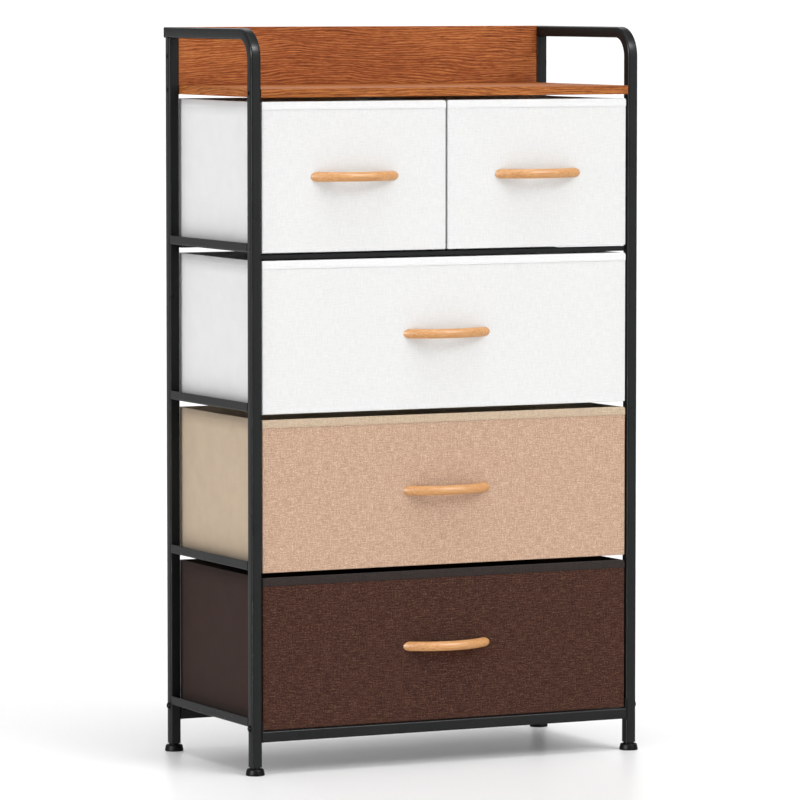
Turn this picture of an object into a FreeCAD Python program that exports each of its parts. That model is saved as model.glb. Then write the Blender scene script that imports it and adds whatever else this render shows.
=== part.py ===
import FreeCAD, Part
import math
import operator
import os
from types import SimpleNamespace

import Sketcher
from FreeCAD import Placement, Rotation, Vector

# Fabric drawer dresser: two welded side frames of square steel tube, each with a hoop that runs up the
# front and back along the top as a gallery rail, joined by a wooden top board, a wooden back panel and
# steel cross rails. Five fabric drawers slide on folded steel runners: two small ones above three wide ones.
#
# Frame of reference: X from left to right, Y from front to back, Z up, floor at Z = 0. X = 0 is the plane of
# symmetry, and Y = 0 is midway between the front of the handles and the rear end of the gallery rail.

# name of the cell: (value in mm, what it measures)
DRIVING_SIZES = {
    "overall_width": (585, "across the outer faces of the posts"),
    "overall_depth": (283, "front face of the front post to rear face of the rear post"),
    "overall_height": (1000, "floor to the top of the gallery rail"),
    "tube_side": (15, "outside of the square tube"),
    "tube_wall": (1.2, "wall of the square tube"),
    "tube_corner": (2.2, "outside corner radius of the square tube"),
    "hoop_bend": (26, "inside radius of the hoop's bend"),
    "hoop_tail": (2.5, "how far the gallery rail runs past the rear post"),
    "cap_head": (2, "thickness of the end cap's head"),
    "cap_plug": (10, "length of the end cap's plug"),
    "plug_clearance": (0.1, "gap round a plug in a tube"),
    "gallery_height": (80, "top board to the top of the gallery rail"),
    "board_thickness": (12, "top board"),
    "panel_thickness": (12, "back panel"),
    "board_edge": (0.6, "bevel on the edges of the board and the panel"),
    "foot_base_width": (25.6, "diameter of a foot at the floor"),
    "foot_rim_width": (23, "diameter of a foot's upper rim"),
    "foot_base_height": (9, "floor to the upper rim of a foot"),
    "foot_edge": (1, "bevel of a foot's lower and upper rims"),
    "foot_neck_width": (14, "diameter of a foot's neck"),
    "foot_neck_height": (2, "rim of a foot to the end of the post"),
    "foot_stem_width": (6, "diameter of a foot's threaded stem"),
    "foot_stem_length": (14, "length of a foot's stem inside its insert"),
    "foot_insert_height": (18, "length of the insert in the end of a post"),
    "thread_clearance": (0.08, "radial gap round a screw thread"),
    "sheet": (1.5, "steel sheet of the runners and cross rails"),
    "sheet_bend": (1.5, "inside radius of a fold in the sheet"),
    "runner_height": (12.6, "upright leg of a runner"),
    "runner_ledge": (34, "ledge of a runner, on which a drawer slides"),
    "mid_rail_height": (6.4, "front rail below the small drawers"),
    "mid_rail_depth": (15, "front rail below the small drawers, front to back"),
    "mid_rail_drop": (2.8, "top of the mid rails to the underside of the upper runners"),
    "mid_rail_recess": (7.5, "front of the post to the face of the front mid rail"),
    "rear_ledge": (22, "ledge of the rear mid rail"),
    "tongue_width": (7, "tongue of a mid rail that sits in a slot of the post"),
    "tongue_reach": (4, "how far a tongue enters the post"),
    "slot_clearance": (0.2, "gap round a tongue in its slot"),
    "center_runner_width": (40, "runner between the two small drawers"),
    "divider_fin": (1.5, "upright fin of the center runner"),
    "bottom_rail_level": (44.2, "floor to the underside of the bottom rails"),
    "end_plate_height": (27, "plate welded to each end of a bottom rail"),
    "bolt_level": (63.2, "floor to the axis of the frame bolts"),
    "bolt_width": (6, "diameter of a frame bolt"),
    "bolt_head_width": (9.6, "head of a frame bolt"),
    "bolt_head_height": (2.6, "height of a frame bolt's domed head"),
    "bolt_clearance": (0.2, "radial gap round a screw or bolt in the frame"),
    "wood_screw_width": (4, "diameter of a screw into the board or panel"),
    "wood_screw_head_width": (8, "head of a screw into the board or panel"),
    "wood_screw_head_height": (1.2, "height of such a head"),
    "wood_screw_bite": (20, "how far a screw enters the board or panel"),
    "front_recess": (3, "front of the post to the face of the drawer fronts"),
    "front_side_gap": (2, "drawer front to the post"),
    "front_middle_gap": (2.9, "between the two small drawer fronts"),
    "front_corner": (5, "radius of a drawer front's upper corners"),
    "board_gap": (5.7, "small drawer fronts to the underside of the top board"),
    "mid_rail_gap": (1.9, "front mid rail to the small drawer fronts"),
    "below_mid_rail_gap": (2.5, "second drawer front to the underside of the front mid rail"),
    "second_front_gap": (7.8, "third drawer front to the second"),
    "third_front_gap": (7.2, "lowest drawer front to the third"),
    "bottom_rail_gap": (0.8, "front bottom rail to the lowest drawer front"),
    "front_skirt": (3.2, "how far the second and third drawer fronts hang below their runners"),
    "lowest_runner_gap": (5.4, "top of the bottom rails to the underside of the lowest runners"),
    "small_front_height": (201.5, "height of a small drawer's front"),
    "front_board": (4, "stiff board inside a drawer front"),
    "cover_fabric": (0.8, "woven fabric over a drawer front"),
    "hem_height": (10.5, "doubled hem along the top of a drawer front"),
    "hem_fold": (0.5, "how far the hem stands out from the face of a drawer front"),
    "bin_inset": (1, "side of the bin inside the edge of its front"),
    "bin_wall": (3, "side and rear walls of a bin"),
    "bin_lining": (1, "fabric behind the front board"),
    "bin_floor": (1.5, "fabric floor of a bin"),
    "bin_rear_gap": (3.5, "rear of a bin to the rear face of the posts"),
    "bin_corner": (4, "radius of a bin's rear corners"),
    "base_board": (3, "loose stiff board on the floor of a bin"),
    "base_board_gap": (1, "gap round the base board"),
    "slide_clearance": (0.3, "bin floor above the ledges of the runners"),
    "handle_length": (131.5, "end to end of a handle"),
    "handle_width": (13, "diameter of a handle's bar"),
    "handle_projection": (25.5, "drawer front to the middle of the handle's bow"),
    "handle_screw_spacing": (100, "between the two screws of a handle"),
    "handle_screw_width": (4, "diameter of a handle screw"),
    "handle_screw_bite": (9, "how far a handle screw enters the handle"),
    "handle_screw_head_width": (8.5, "head of a handle screw"),
    "handle_screw_head_height": (2.2, "height of a handle screw's head"),
}


# ---------------------------------------------------------------- sizes and formulas


class Size:
    """A length: its number now, and the formula that binds it to the sheet."""

    def __init__(self, number, formula):
        self.number = float(number)
        self.formula = formula

    def joined(self, sign, left, right):
        work = {"+": operator.add, "-": operator.sub, "*": operator.mul, "/": operator.truediv}[sign]
        left, right = as_size(left), as_size(right)
        return Size(work(left.number, right.number), f"({left.formula} {sign} {right.formula})")

    def __add__(self, other):
        return self.joined("+", self, other)

    def __radd__(self, other):
        return self.joined("+", other, self)

    def __sub__(self, other):
        return self.joined("-", self, other)

    def __rsub__(self, other):
        return self.joined("-", other, self)

    def __mul__(self, other):
        return self.joined("*", self, other)

    def __rmul__(self, other):
        return self.joined("*", other, self)

    def __truediv__(self, other):
        return self.joined("/", self, other)

    def __neg__(self):
        return self.joined("*", -1, self)


def as_size(value):
    return value if isinstance(value, Size) else Size(value, repr(value))


def angle_of_cosine(ratio):
    return Size(math.degrees(math.acos(ratio.number)), f"acos({ratio.formula})")


def make_sheet(doc):
    """Puts the driving sizes in a spreadsheet and gives them back by name."""
    sheet = doc.addObject("Spreadsheet::Sheet", "sizes")
    found = {}
    for row, (name, (value, meaning)) in enumerate(DRIVING_SIZES.items(), start=1):
        sheet.set(f"A{row}", name)
        sheet.set(f"B{row}", str(value))
        sheet.set(f"C{row}", meaning)
        sheet.setAlias(f"B{row}", name)
        found[name] = Size(value, f"sizes.{name}")
    doc.recompute()
    return SimpleNamespace(**found)


doc = FreeCAD.newDocument("fabric_drawer_dresser")
s = make_sheet(doc)

# lengths that follow from the driving sizes
half_tube = s.tube_side / 2
inner_width = s.overall_width - 2 * s.tube_side
inner_depth = s.overall_depth - 2 * s.tube_side
post_x = s.overall_width / 2 - half_tube
post_y = s.overall_depth / 2 - half_tube
post_foot = s.foot_base_height + s.foot_neck_height
gallery_rail_z = s.overall_height - half_tube
board_top = s.overall_height - s.gallery_height
board_mid = board_top - s.board_thickness / 2
panel_mid = board_top + s.gallery_height / 2
bottom_rail_mid = s.bottom_rail_level + half_tube
bottom_rail_top = s.bottom_rail_level + s.tube_side
bore_width = s.tube_side - 2 * s.tube_wall
front_reach = s.handle_projection - s.front_recess
rear_reach = s.hoop_tail + s.cap_head
depth_shift = (front_reach - rear_reach) / 2

# levels from the top board down to the small drawers, and from the bottom rails up through the wide ones
small_bottom = board_top - s.board_thickness - s.board_gap - s.small_front_height
mid_rail_top = small_bottom - s.mid_rail_gap
second_top = mid_rail_top - s.mid_rail_height - s.below_mid_rail_gap
bottom_front_low = bottom_rail_top + s.bottom_rail_gap
wide_front_height = (second_top - bottom_front_low - s.second_front_gap - s.third_front_gap) / 3
second_bottom = second_top - wide_front_height
third_bottom = second_bottom - s.second_front_gap - wide_front_height
tier_1 = mid_rail_top + s.mid_rail_drop
tier_2 = second_bottom + s.front_skirt
tier_3 = third_bottom + s.front_skirt
tier_4 = bottom_rail_top + s.lowest_runner_gap
tiers = [tier_1, tier_2, tier_3, tier_4]
ledge_top = tier_1 + s.sheet


# ---------------------------------------------------------------- document helpers

XY, XZ, YZ = "XY_Plane", "XZ_Plane", "YZ_Plane"


def bind(item, path, value):
    """Sets a property to a length and ties it to the sheet."""
    value = as_size(value)
    item.setExpression(path, value.formula)


def place(item, x=0, y=0, z=0):
    """Moves an object to a point of the dresser; y counts from midway between front and rear posts."""
    start = [as_size(x), as_size(y) + depth_shift, as_size(z)]
    item.Placement = Placement(Vector(*[length.number for length in start]), Rotation())
    for axis, length in zip("xyz", start):
        bind(item, f"Placement.Base.{axis}", length)


def new_body(label):
    body = doc.addObject("PartDesign::Body", label)
    body.Label = label
    return body


def origin_plane(body, role):
    return [item for item in body.Origin.OriginFeatures if item.Role == role][0]


def new_sketch(body, name, role, offset=0):
    """A sketch on an origin plane of its body, moved along +X, +Y or +Z by the offset."""
    sketch = body.newObject("Sketcher::SketchObject", name)
    sketch.AttachmentSupport = [(origin_plane(body, role), "")]
    sketch.MapMode = "FlatFace"
    along_normal = -as_size(offset) if role == XZ else as_size(offset)
    sketch.AttachmentOffset = Placement(Vector(0, 0, along_normal.number), Rotation())
    bind(sketch, "AttachmentOffset.Base.z", along_normal)
    return sketch


def constrain(sketch, kind, *where, value=None):
    """Adds a constraint; one with a value follows the sheet."""
    if value is None:
        return sketch.addConstraint(Sketcher.Constraint(kind, *where))
    index = sketch.addConstraint(Sketcher.Constraint(kind, *where, value.number))
    bind(sketch, f"Constraints[{index}]", value)
    return index


def pin_point(sketch, curve, point, x, y):
    """Fixes a point of a curve at x, y from the sketch's origin."""
    for kind, axis, value in (("DistanceX", -2, as_size(x)), ("DistanceY", -1, as_size(y))):
        if value.number == 0:
            constrain(sketch, "PointOnObject", curve, point, axis)
        elif value.number > 0:
            constrain(sketch, kind, -1, 1, curve, point, value=value)
        else:
            constrain(sketch, kind, curve, point, -1, 1, value=-value)


def polygon(sketch, corners):
    """A closed outline with straight sides, each corner fixed by two lengths."""
    corners = [(as_size(x), as_size(y)) for x, y in corners]
    spots = [Vector(x.number, y.number, 0) for x, y in corners]
    sides = [
        sketch.addGeometry(Part.LineSegment(spot, spots[(index + 1) % len(spots)]), False)
        for index, spot in enumerate(spots)
    ]
    for index, side in enumerate(sides):
        constrain(sketch, "Coincident", side, 2, sides[(index + 1) % len(sides)], 1)
        pin_point(sketch, side, 1, *corners[index])


def rectangle(sketch, left, right, low, high):
    polygon(sketch, [(left, low), (right, low), (right, high), (left, high)])


def rounded_rectangle(sketch, width, height, radius):
    """A rectangle about the sketch's origin with four equal round corners."""
    half_w, half_h, r = width.number / 2, height.number / 2, radius.number
    in_w, in_h = half_w - r, half_h - r
    lines = [
        Part.LineSegment(Vector(-in_w, -half_h, 0), Vector(in_w, -half_h, 0)),
        Part.LineSegment(Vector(half_w, -in_h, 0), Vector(half_w, in_h, 0)),
        Part.LineSegment(Vector(in_w, half_h, 0), Vector(-in_w, half_h, 0)),
        Part.LineSegment(Vector(-half_w, in_h, 0), Vector(-half_w, -in_h, 0)),
    ]
    centers = [(in_w, -in_h, -90), (in_w, in_h, 0), (-in_w, in_h, 90), (-in_w, -in_h, 180)]
    sides = [sketch.addGeometry(line, False) for line in lines]
    rounds = []
    for x, y, start in centers:
        whole = Part.Circle(Vector(x, y, 0), Vector(0, 0, 1), r)
        arc = Part.ArcOfCircle(whole, math.radians(start), math.radians(start + 90))
        rounds.append(sketch.addGeometry(arc, False))
    for index, corner in enumerate(rounds):
        constrain(sketch, "Tangent", sides[index], 2, corner, 1)
        constrain(sketch, "Tangent", corner, 2, sides[(index + 1) % 4], 1)
    for side, kind in zip(sides, ("Horizontal", "Vertical", "Horizontal", "Vertical")):
        constrain(sketch, kind, side)
    for corner in rounds[1:]:
        constrain(sketch, "Equal", rounds[0], corner)
    constrain(sketch, "Radius", rounds[0], value=radius)
    constrain(sketch, "DistanceX", -1, 1, sides[1], 1, value=width / 2)
    constrain(sketch, "DistanceX", sides[3], 1, -1, 1, value=width / 2)
    constrain(sketch, "DistanceY", -1, 1, sides[2], 1, value=height / 2)
    constrain(sketch, "DistanceY", sides[0], 1, -1, 1, value=height / 2)


def circle(sketch, x, y, width):
    x, y, width = as_size(x), as_size(y), as_size(width)
    shape = Part.Circle(Vector(x.number, y.number, 0), Vector(0, 0, 1), width.number / 2)
    curve = sketch.addGeometry(shape, False)
    constrain(sketch, "Diameter", curve, value=width)
    pin_point(sketch, curve, 3, x, y)


def extrusion(kind, body, name, role, low, high, draw):
    """Adds or cuts what the sketch outlines between two levels along the plane's normal."""
    low, high = as_size(low), as_size(high)
    sketch = new_sketch(body, f"{name}_sketch", role, (low + high) / 2)
    draw(sketch)
    feature = body.newObject(f"PartDesign::{kind}", name)
    feature.Profile = sketch
    feature.SideType = "Symmetric"
    feature.Length = (high - low).number
    bind(feature, "Length", high - low)
    return feature


def pad(body, name, role, low, high, draw):
    return extrusion("Pad", body, name, role, low, high, draw)


def pocket(body, name, role, low, high, draw):
    return extrusion("Pocket", body, name, role, low, high, draw)


def mirrored(body, name, features, role):
    """Repeats features of a body on the other side of one of its origin planes."""
    feature = body.newObject("PartDesign::Mirrored", name)
    feature.Originals = features
    feature.MirrorPlane = (origin_plane(body, role), [""])
    body.Tip = feature
    return feature


def dressed_edges(kind, body, name, base, size, chosen):
    """Rounds or bevels those edges of a feature that pass the test."""
    doc.recompute()
    names = [f"Edge{index}" for index, edge in enumerate(base.Shape.Edges, start=1) if chosen(edge)]
    feature = body.newObject(f"PartDesign::{kind}", name)
    feature.Base = (base, names)
    measure = "Radius" if kind == "Fillet" else "Size"
    setattr(feature, measure, as_size(size).number)
    bind(feature, measure, size)
    return feature


def rounded_edges(body, name, base, radius, chosen):
    return dressed_edges("Fillet", body, name, base, radius, chosen)


def eased_edges(body, base, size):
    """Takes the sharpness off every edge of a board."""
    return dressed_edges("Chamfer", body, "eased_edges", base, size, lambda edge: True)


def revolution(body, name, sketch, axis="V_Axis"):
    feature = body.newObject("PartDesign::Revolution", name)
    feature.Profile = sketch
    feature.ReferenceAxis = (sketch, [axis])
    feature.Angle = 360
    return feature


def mirror_copy(source, normal, suffix):
    """A mirrored copy of a whole object about a plane through the origin."""
    copy = doc.addObject("Part::Mirroring", f"{source.Name}_{suffix}")
    copy.Source = source
    copy.Base = Vector(0, 0, 0)
    copy.Normal = normal
    return copy


def group(label, items):
    """Several like pieces that stay separate solids and share one name."""
    joined = doc.addObject("Part::Compound", label)
    joined.Label = label
    joined.Links = items
    return joined


def left_and_right(label, piece):
    return group(label, [piece, mirror_copy(piece, Vector(1, 0, 0), "left")])


def four_corners(label, piece):
    left = mirror_copy(piece, Vector(1, 0, 0), "left")
    rear = mirror_copy(piece, Vector(0, 1, 0), "rear")
    rear_left = mirror_copy(left, Vector(0, 1, 0), "rear")
    return group(label, [piece, left, rear, rear_left])


NODES = []


def keep(item):
    """Marks an object as a piece of the dresser."""
    NODES.append(item)
    return item


# ---------------------------------------------------------------- side frames


def cross_hole(body, name, y, z, width):
    """A hole through both walls of a tube, along X."""
    return pocket(body, name, YZ, -half_tube, half_tube, lambda sketch: circle(sketch, y, z, width))


def tongue_slot(body, name, y, z, inward):
    """A slot in the wall that faces the middle of the dresser, for the tongue of a mid rail."""
    across = s.tongue_width / 2 + s.slot_clearance
    far = s.tube_side / 2 * inward
    low, high = (as_size(0), far) if inward > 0 else (far, as_size(0))

    def outline(sketch):
        rectangle(sketch, y - across, y + across, z - s.sheet - s.slot_clearance, z + s.slot_clearance)

    return pocket(body, name, YZ, low, high, outline)


def tube_hole_widths():
    return s.bolt_width + 2 * s.bolt_clearance, s.wood_screw_width + 2 * s.bolt_clearance


def make_hoop(label, side):
    """Front post and gallery rail, bent from one square tube; its origin is the post's axis at the floor."""
    body = new_body(label)
    bend = s.hoop_bend + half_tube
    rail_end = 2 * post_y + half_tube + s.hoop_tail

    path = new_sketch(body, "path", YZ)
    low, turn, high = post_foot.number, gallery_rail_z.number - bend.number, gallery_rail_z.number
    rise = path.addGeometry(Part.LineSegment(Vector(0, low, 0), Vector(0, turn, 0)), False)
    whole = Part.Circle(Vector(bend.number, turn, 0), Vector(0, 0, 1), bend.number)
    corner = path.addGeometry(Part.ArcOfCircle(whole, math.pi / 2, math.pi), False)
    start, stop = Vector(bend.number, high, 0), Vector(rail_end.number, high, 0)
    run = path.addGeometry(Part.LineSegment(start, stop), False)
    constrain(path, "Vertical", rise)
    constrain(path, "Tangent", rise, 2, corner, 2)
    constrain(path, "Tangent", corner, 1, run, 1)
    constrain(path, "Horizontal", run)
    constrain(path, "Radius", corner, value=bend)
    pin_point(path, rise, 1, 0, post_foot)
    pin_point(path, run, 2, rail_end, gallery_rail_z)

    section = new_sketch(body, "section", XY, post_foot)
    rounded_rectangle(section, s.tube_side, s.tube_side, s.tube_corner)
    rounded_rectangle(section, bore_width, bore_width, s.tube_corner - s.tube_wall)
    tube = body.newObject("PartDesign::AdditivePipe", "tube")
    tube.Profile = section
    tube.Spine = (path, ["Edge1", "Edge2", "Edge3"])

    bolt_hole, screw_hole = tube_hole_widths()
    cross_hole(body, "bolt_hole", 0, s.bolt_level, bolt_hole)
    cross_hole(body, "board_screw_hole", 0, board_mid, screw_hole)
    slot_y = s.mid_rail_recess + s.mid_rail_depth / 2 - half_tube
    tongue_slot(body, "mid_rail_slot", slot_y, mid_rail_top, -side)
    place(body, side * post_x, -post_y, 0)
    return keep(body)


def make_rear_post(label, side):
    """Straight square tube whose upper end is welded to the underside of the gallery rail."""
    body = new_body(label)

    def outline(sketch):
        rounded_rectangle(sketch, s.tube_side, s.tube_side, s.tube_corner)
        rounded_rectangle(sketch, bore_width, bore_width, s.tube_corner - s.tube_wall)

    pad(body, "tube", XY, post_foot, s.overall_height - s.tube_side, outline)
    bolt_hole, screw_hole = tube_hole_widths()
    cross_hole(body, "bolt_hole", 0, s.bolt_level, bolt_hole)
    cross_hole(body, "board_screw_hole", 0, board_mid, screw_hole)
    cross_hole(body, "panel_screw_hole", 0, panel_mid, screw_hole)
    tongue_slot(body, "mid_rail_slot", 0, mid_rail_top, -side)
    place(body, side * post_x, post_y, 0)
    return keep(body)


def is_fold(edge, axis, first, second):
    """Whether an edge runs along the axis through a point given by its two other coordinates."""
    middle = edge.CenterOfMass
    spots = {"X": (middle.y, middle.z), "Y": (middle.x, middle.z), "Z": (middle.x, middle.y)}
    ends = [vertex.Point for vertex in edge.Vertexes]
    along = len(ends) == 2 and abs(getattr(ends[0] - ends[1], axis.lower())) > 0.99 * edge.Length
    near = math.dist(spots[axis], (as_size(first).number, as_size(second).number)) < 0.01
    return along and near


def fold(body, base, axis, outside, inside):
    """Rounds a folded corner of sheet inside and outside, so that the sheet keeps its thickness."""
    inner = rounded_edges(body, "inner_fold", base, s.sheet_bend, lambda edge: is_fold(edge, axis, *inside))
    outer_radius = s.sheet_bend + s.sheet
    return rounded_edges(body, "outer_fold", inner, outer_radius, lambda edge: is_fold(edge, axis, *outside))


def make_runner(label, side, level):
    """Angle folded from sheet: an upright leg flush with the posts and a ledge that carries the drawers."""
    body = new_body(label)
    inward = -side

    def outline(sketch):
        corners = [(0, 0), (s.runner_ledge, 0), (s.runner_ledge, s.sheet)]
        corners += [(s.sheet, s.sheet), (s.sheet, s.runner_height), (0, s.runner_height)]
        polygon(sketch, [(as_size(x) * inward if as_size(x).number else 0, z) for x, z in corners])

    angle = pad(body, "angle", XZ, -inner_depth / 2, inner_depth / 2, outline)
    fold(body, angle, "Y", (0, 0), (s.sheet * inward, s.sheet))
    place(body, side * s.overall_width / 2, 0, level)
    return keep(body)


def make_side_frames():
    for name, side in (("left", -1), ("right", 1)):
        make_hoop(f"{name}_hoop", side)
        make_rear_post(f"{name}_rear_post", side)
        for number, level in enumerate(tiers, start=1):
            make_runner(f"{name}_runner_{number}", side, level)


# ---------------------------------------------------------------- cross rails


def make_bottom_rail(label, y):
    """Square tube with a plate on each end, through which it is bolted to the posts."""
    body = new_body(label)
    plate_inside = inner_width / 2 - s.sheet

    def tube(sketch):
        rounded_rectangle(sketch, s.tube_side, s.tube_side, s.tube_corner)
        rounded_rectangle(sketch, bore_width, bore_width, s.tube_corner - s.tube_wall)

    def plate(sketch):
        rectangle(sketch, -half_tube, half_tube, -half_tube, s.end_plate_height - half_tube)

    pad(body, "tube", YZ, -plate_inside, plate_inside, tube)
    end = pad(body, "end_plate", YZ, plate_inside, inner_width / 2, plate)
    mirrored(body, "other_end_plate", [end], YZ)
    bolt_z = s.bolt_level - bottom_rail_mid
    through = inner_width / 2
    bolt_thread = s.bolt_width + 2 * s.thread_clearance
    pocket(body, "bolt_holes", YZ, -through, through, lambda sketch: circle(sketch, 0, bolt_z, bolt_thread))
    pocket(body, "vents", YZ, -through, through, lambda sketch: circle(sketch, 0, 0, s.bolt_width))
    place(body, 0, y, bottom_rail_mid)
    return keep(body)


def add_tongues(body, y, top):
    """Two tongues of the sheet that reach into the slots of the posts."""
    across = s.tongue_width / 2
    inside = inner_width / 2 - s.sheet
    outside = inner_width / 2 + s.tongue_reach

    def outline(sketch):
        rectangle(sketch, y - across, y + across, top - s.sheet, top)

    tongue = pad(body, "tongue", YZ, inside, outside, outline)
    mirrored(body, "other_tongue", [tongue], YZ)


def make_front_mid_rail():
    """Channel folded from sheet, legs down, below the small drawers."""
    body = new_body("front_mid_rail")
    half = s.mid_rail_depth / 2
    tall = s.mid_rail_height

    def outline(sketch):
        corners = [(-half, -tall), (s.sheet - half, -tall), (s.sheet - half, -s.sheet)]
        corners += [(half - s.sheet, -s.sheet), (half - s.sheet, -tall), (half, -tall), (half, 0), (-half, 0)]
        polygon(sketch, corners)

    channel = pad(body, "channel", YZ, -inner_width / 2, inner_width / 2, outline)
    rounded_edges(
        body,
        "folds",
        channel,
        s.sheet,
        lambda edge: is_fold(edge, "X", -half, 0) or is_fold(edge, "X", half, 0),
    )
    add_tongues(body, as_size(0), as_size(0))
    place(body, 0, s.mid_rail_recess + s.mid_rail_depth / 2 - s.overall_depth / 2, mid_rail_top)
    return keep(body)


def make_rear_mid_rail():
    """Angle folded from sheet behind the small drawers, its ledge at the height of the front mid rail."""
    body = new_body("rear_mid_rail")
    wall = tier_1 + s.runner_height - mid_rail_top

    def outline(sketch):
        corners = [(0, -s.sheet), (0, wall), (-s.sheet, wall), (-s.sheet, 0)]
        corners += [(-s.rear_ledge, 0), (-s.rear_ledge, -s.sheet)]
        polygon(sketch, corners)

    angle = pad(body, "angle", YZ, -inner_width / 2, inner_width / 2, outline)
    fold(body, angle, "X", (0, -s.sheet), (-s.sheet, 0))
    add_tongues(body, -half_tube, as_size(0))
    place(body, 0, s.overall_depth / 2, mid_rail_top)
    return keep(body)


def make_center_runner():
    """Shallow channel on both mid rails: its ledges carry the small drawers and its fin parts them."""
    body = new_body("center_runner")
    half = s.center_runner_width / 2
    fin = s.divider_fin / 2
    top = ledge_top - mid_rail_top
    fin_top = tier_1 + s.runner_height - mid_rail_top

    def outline(sketch):
        corners = [(-half, 0), (s.sheet - half, 0), (s.sheet - half, top - s.sheet)]
        corners += [(half - s.sheet, top - s.sheet), (half - s.sheet, 0), (half, 0), (half, top)]
        corners += [(fin, top), (fin, fin_top), (-fin, fin_top), (-fin, top), (-half, top)]
        polygon(sketch, corners)

    front_end = s.front_recess + 2 * s.cover_fabric + s.front_board + s.bin_lining - s.overall_depth / 2
    rear_end = s.overall_depth / 2 - s.sheet - s.sheet_bend - s.slot_clearance
    channel = pad(body, "channel", XZ, front_end, rear_end, outline)
    rounded_edges(
        body,
        "folds",
        channel,
        s.sheet,
        lambda edge: is_fold(edge, "Y", -half, top) or is_fold(edge, "Y", half, top),
    )
    place(body, 0, 0, mid_rail_top)
    return keep(body)


# ---------------------------------------------------------------- wooden board and panel


def make_top_board():
    """Wooden board between the posts, held by a screw through each post."""
    body = new_body("top_board")
    half_x, half_y, half_z = inner_width / 2, s.overall_depth / 2, s.board_thickness / 2

    def outline(sketch):
        rectangle(sketch, -half_x, half_x, -half_y, half_y)

    eased_edges(body, pad(body, "board", XY, -half_z, half_z, outline), s.board_edge)

    def pilots(sketch):
        for y in (-post_y, post_y):
            circle(sketch, y, 0, s.wood_screw_width + 2 * s.thread_clearance)

    hole = pocket(body, "pilot_holes", YZ, half_x - s.wood_screw_bite, half_x, pilots)
    mirrored(body, "other_pilot_holes", [hole], YZ)
    place(body, 0, 0, board_mid)
    return keep(body)


def make_back_panel():
    """Wooden panel on the rear edge of the board, between the rear posts and flush with the gallery rails."""
    body = new_body("back_panel")
    half_x, half_y, half_z = inner_width / 2, s.panel_thickness / 2, s.gallery_height / 2

    def outline(sketch):
        rectangle(sketch, -half_x, half_x, -half_z, half_z)

    eased_edges(body, pad(body, "panel", XZ, -half_y, half_y, outline), s.board_edge)
    panel_y = s.overall_depth / 2 - s.panel_thickness / 2
    screw_y = post_y - panel_y
    pilot = s.wood_screw_width + 2 * s.thread_clearance
    low = half_x - s.wood_screw_bite
    hole = pocket(body, "pilot_hole", YZ, low, half_x, lambda sketch: circle(sketch, screw_y, 0, pilot))
    mirrored(body, "other_pilot_hole", [hole], YZ)
    place(body, 0, panel_y, panel_mid)
    return keep(body)


# ---------------------------------------------------------------- fasteners of the frame


def make_headed_screw(label, shank_width, shank_length, head_width, head_height, y, z):
    """A domed screw along X whose head seats on the outer face of the right-hand post."""
    body = new_body(label)
    sketch = new_sketch(body, "half_section", XZ)
    shank, head = shank_width / 2, head_width / 2
    face = s.overall_width / 2
    corners = [(face - shank_length, 0), (face + head_height, 0), (face + head_height, head * 0.5)]
    corners += [(face + head_height * 0.4, head), (face, head), (face, shank), (face - shank_length, shank)]
    polygon(sketch, corners)
    revolution(body, "turned", sketch, "H_Axis")
    body.Placement = Placement(Vector(0, y.number, z.number), Rotation())
    bind(body, "Placement.Base.y", y)
    bind(body, "Placement.Base.z", z)
    return body


def make_frame_fasteners():
    bolt = make_headed_screw(
        "frame_bolt",
        s.bolt_width,
        s.tube_side + s.sheet,
        s.bolt_head_width,
        s.bolt_head_height,
        -post_y,
        s.bolt_level,
    )
    wood_screw = (s.wood_screw_width, s.tube_side + s.wood_screw_bite, s.wood_screw_head_width)
    board_screw = make_headed_screw("board_screw", *wood_screw, s.wood_screw_head_height, -post_y, board_mid)
    panel_screw = make_headed_screw("panel_screw", *wood_screw, s.wood_screw_head_height, post_y, panel_mid)
    for item in (
        four_corners("frame_bolts", bolt),
        four_corners("board_screws", board_screw),
        left_and_right("panel_screws", panel_screw),
    ):
        place(item)
        keep(item)


# ---------------------------------------------------------------- plastic caps, inserts and feet


def make_end_caps():
    """Plastic caps in the open rear ends of the two gallery rails."""
    body = new_body("hoop_end_cap")
    tube_end = s.overall_depth / 2 + s.hoop_tail
    plug_width = bore_width - 2 * s.plug_clearance

    def head(sketch):
        rounded_rectangle(sketch, s.tube_side, s.tube_side, s.tube_corner)

    def plug(sketch):
        rounded_rectangle(sketch, plug_width, plug_width, s.tube_corner - s.tube_wall)

    pad(body, "head", XZ, tube_end, tube_end + s.cap_head, head)
    pad(body, "plug", XZ, tube_end - s.cap_plug, tube_end, plug)
    body.Placement = Placement(Vector(post_x.number, 0, gallery_rail_z.number), Rotation())
    bind(body, "Placement.Base.x", post_x)
    bind(body, "Placement.Base.z", gallery_rail_z)
    caps = left_and_right("hoop_end_caps", body)
    place(caps)
    keep(caps)


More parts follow.
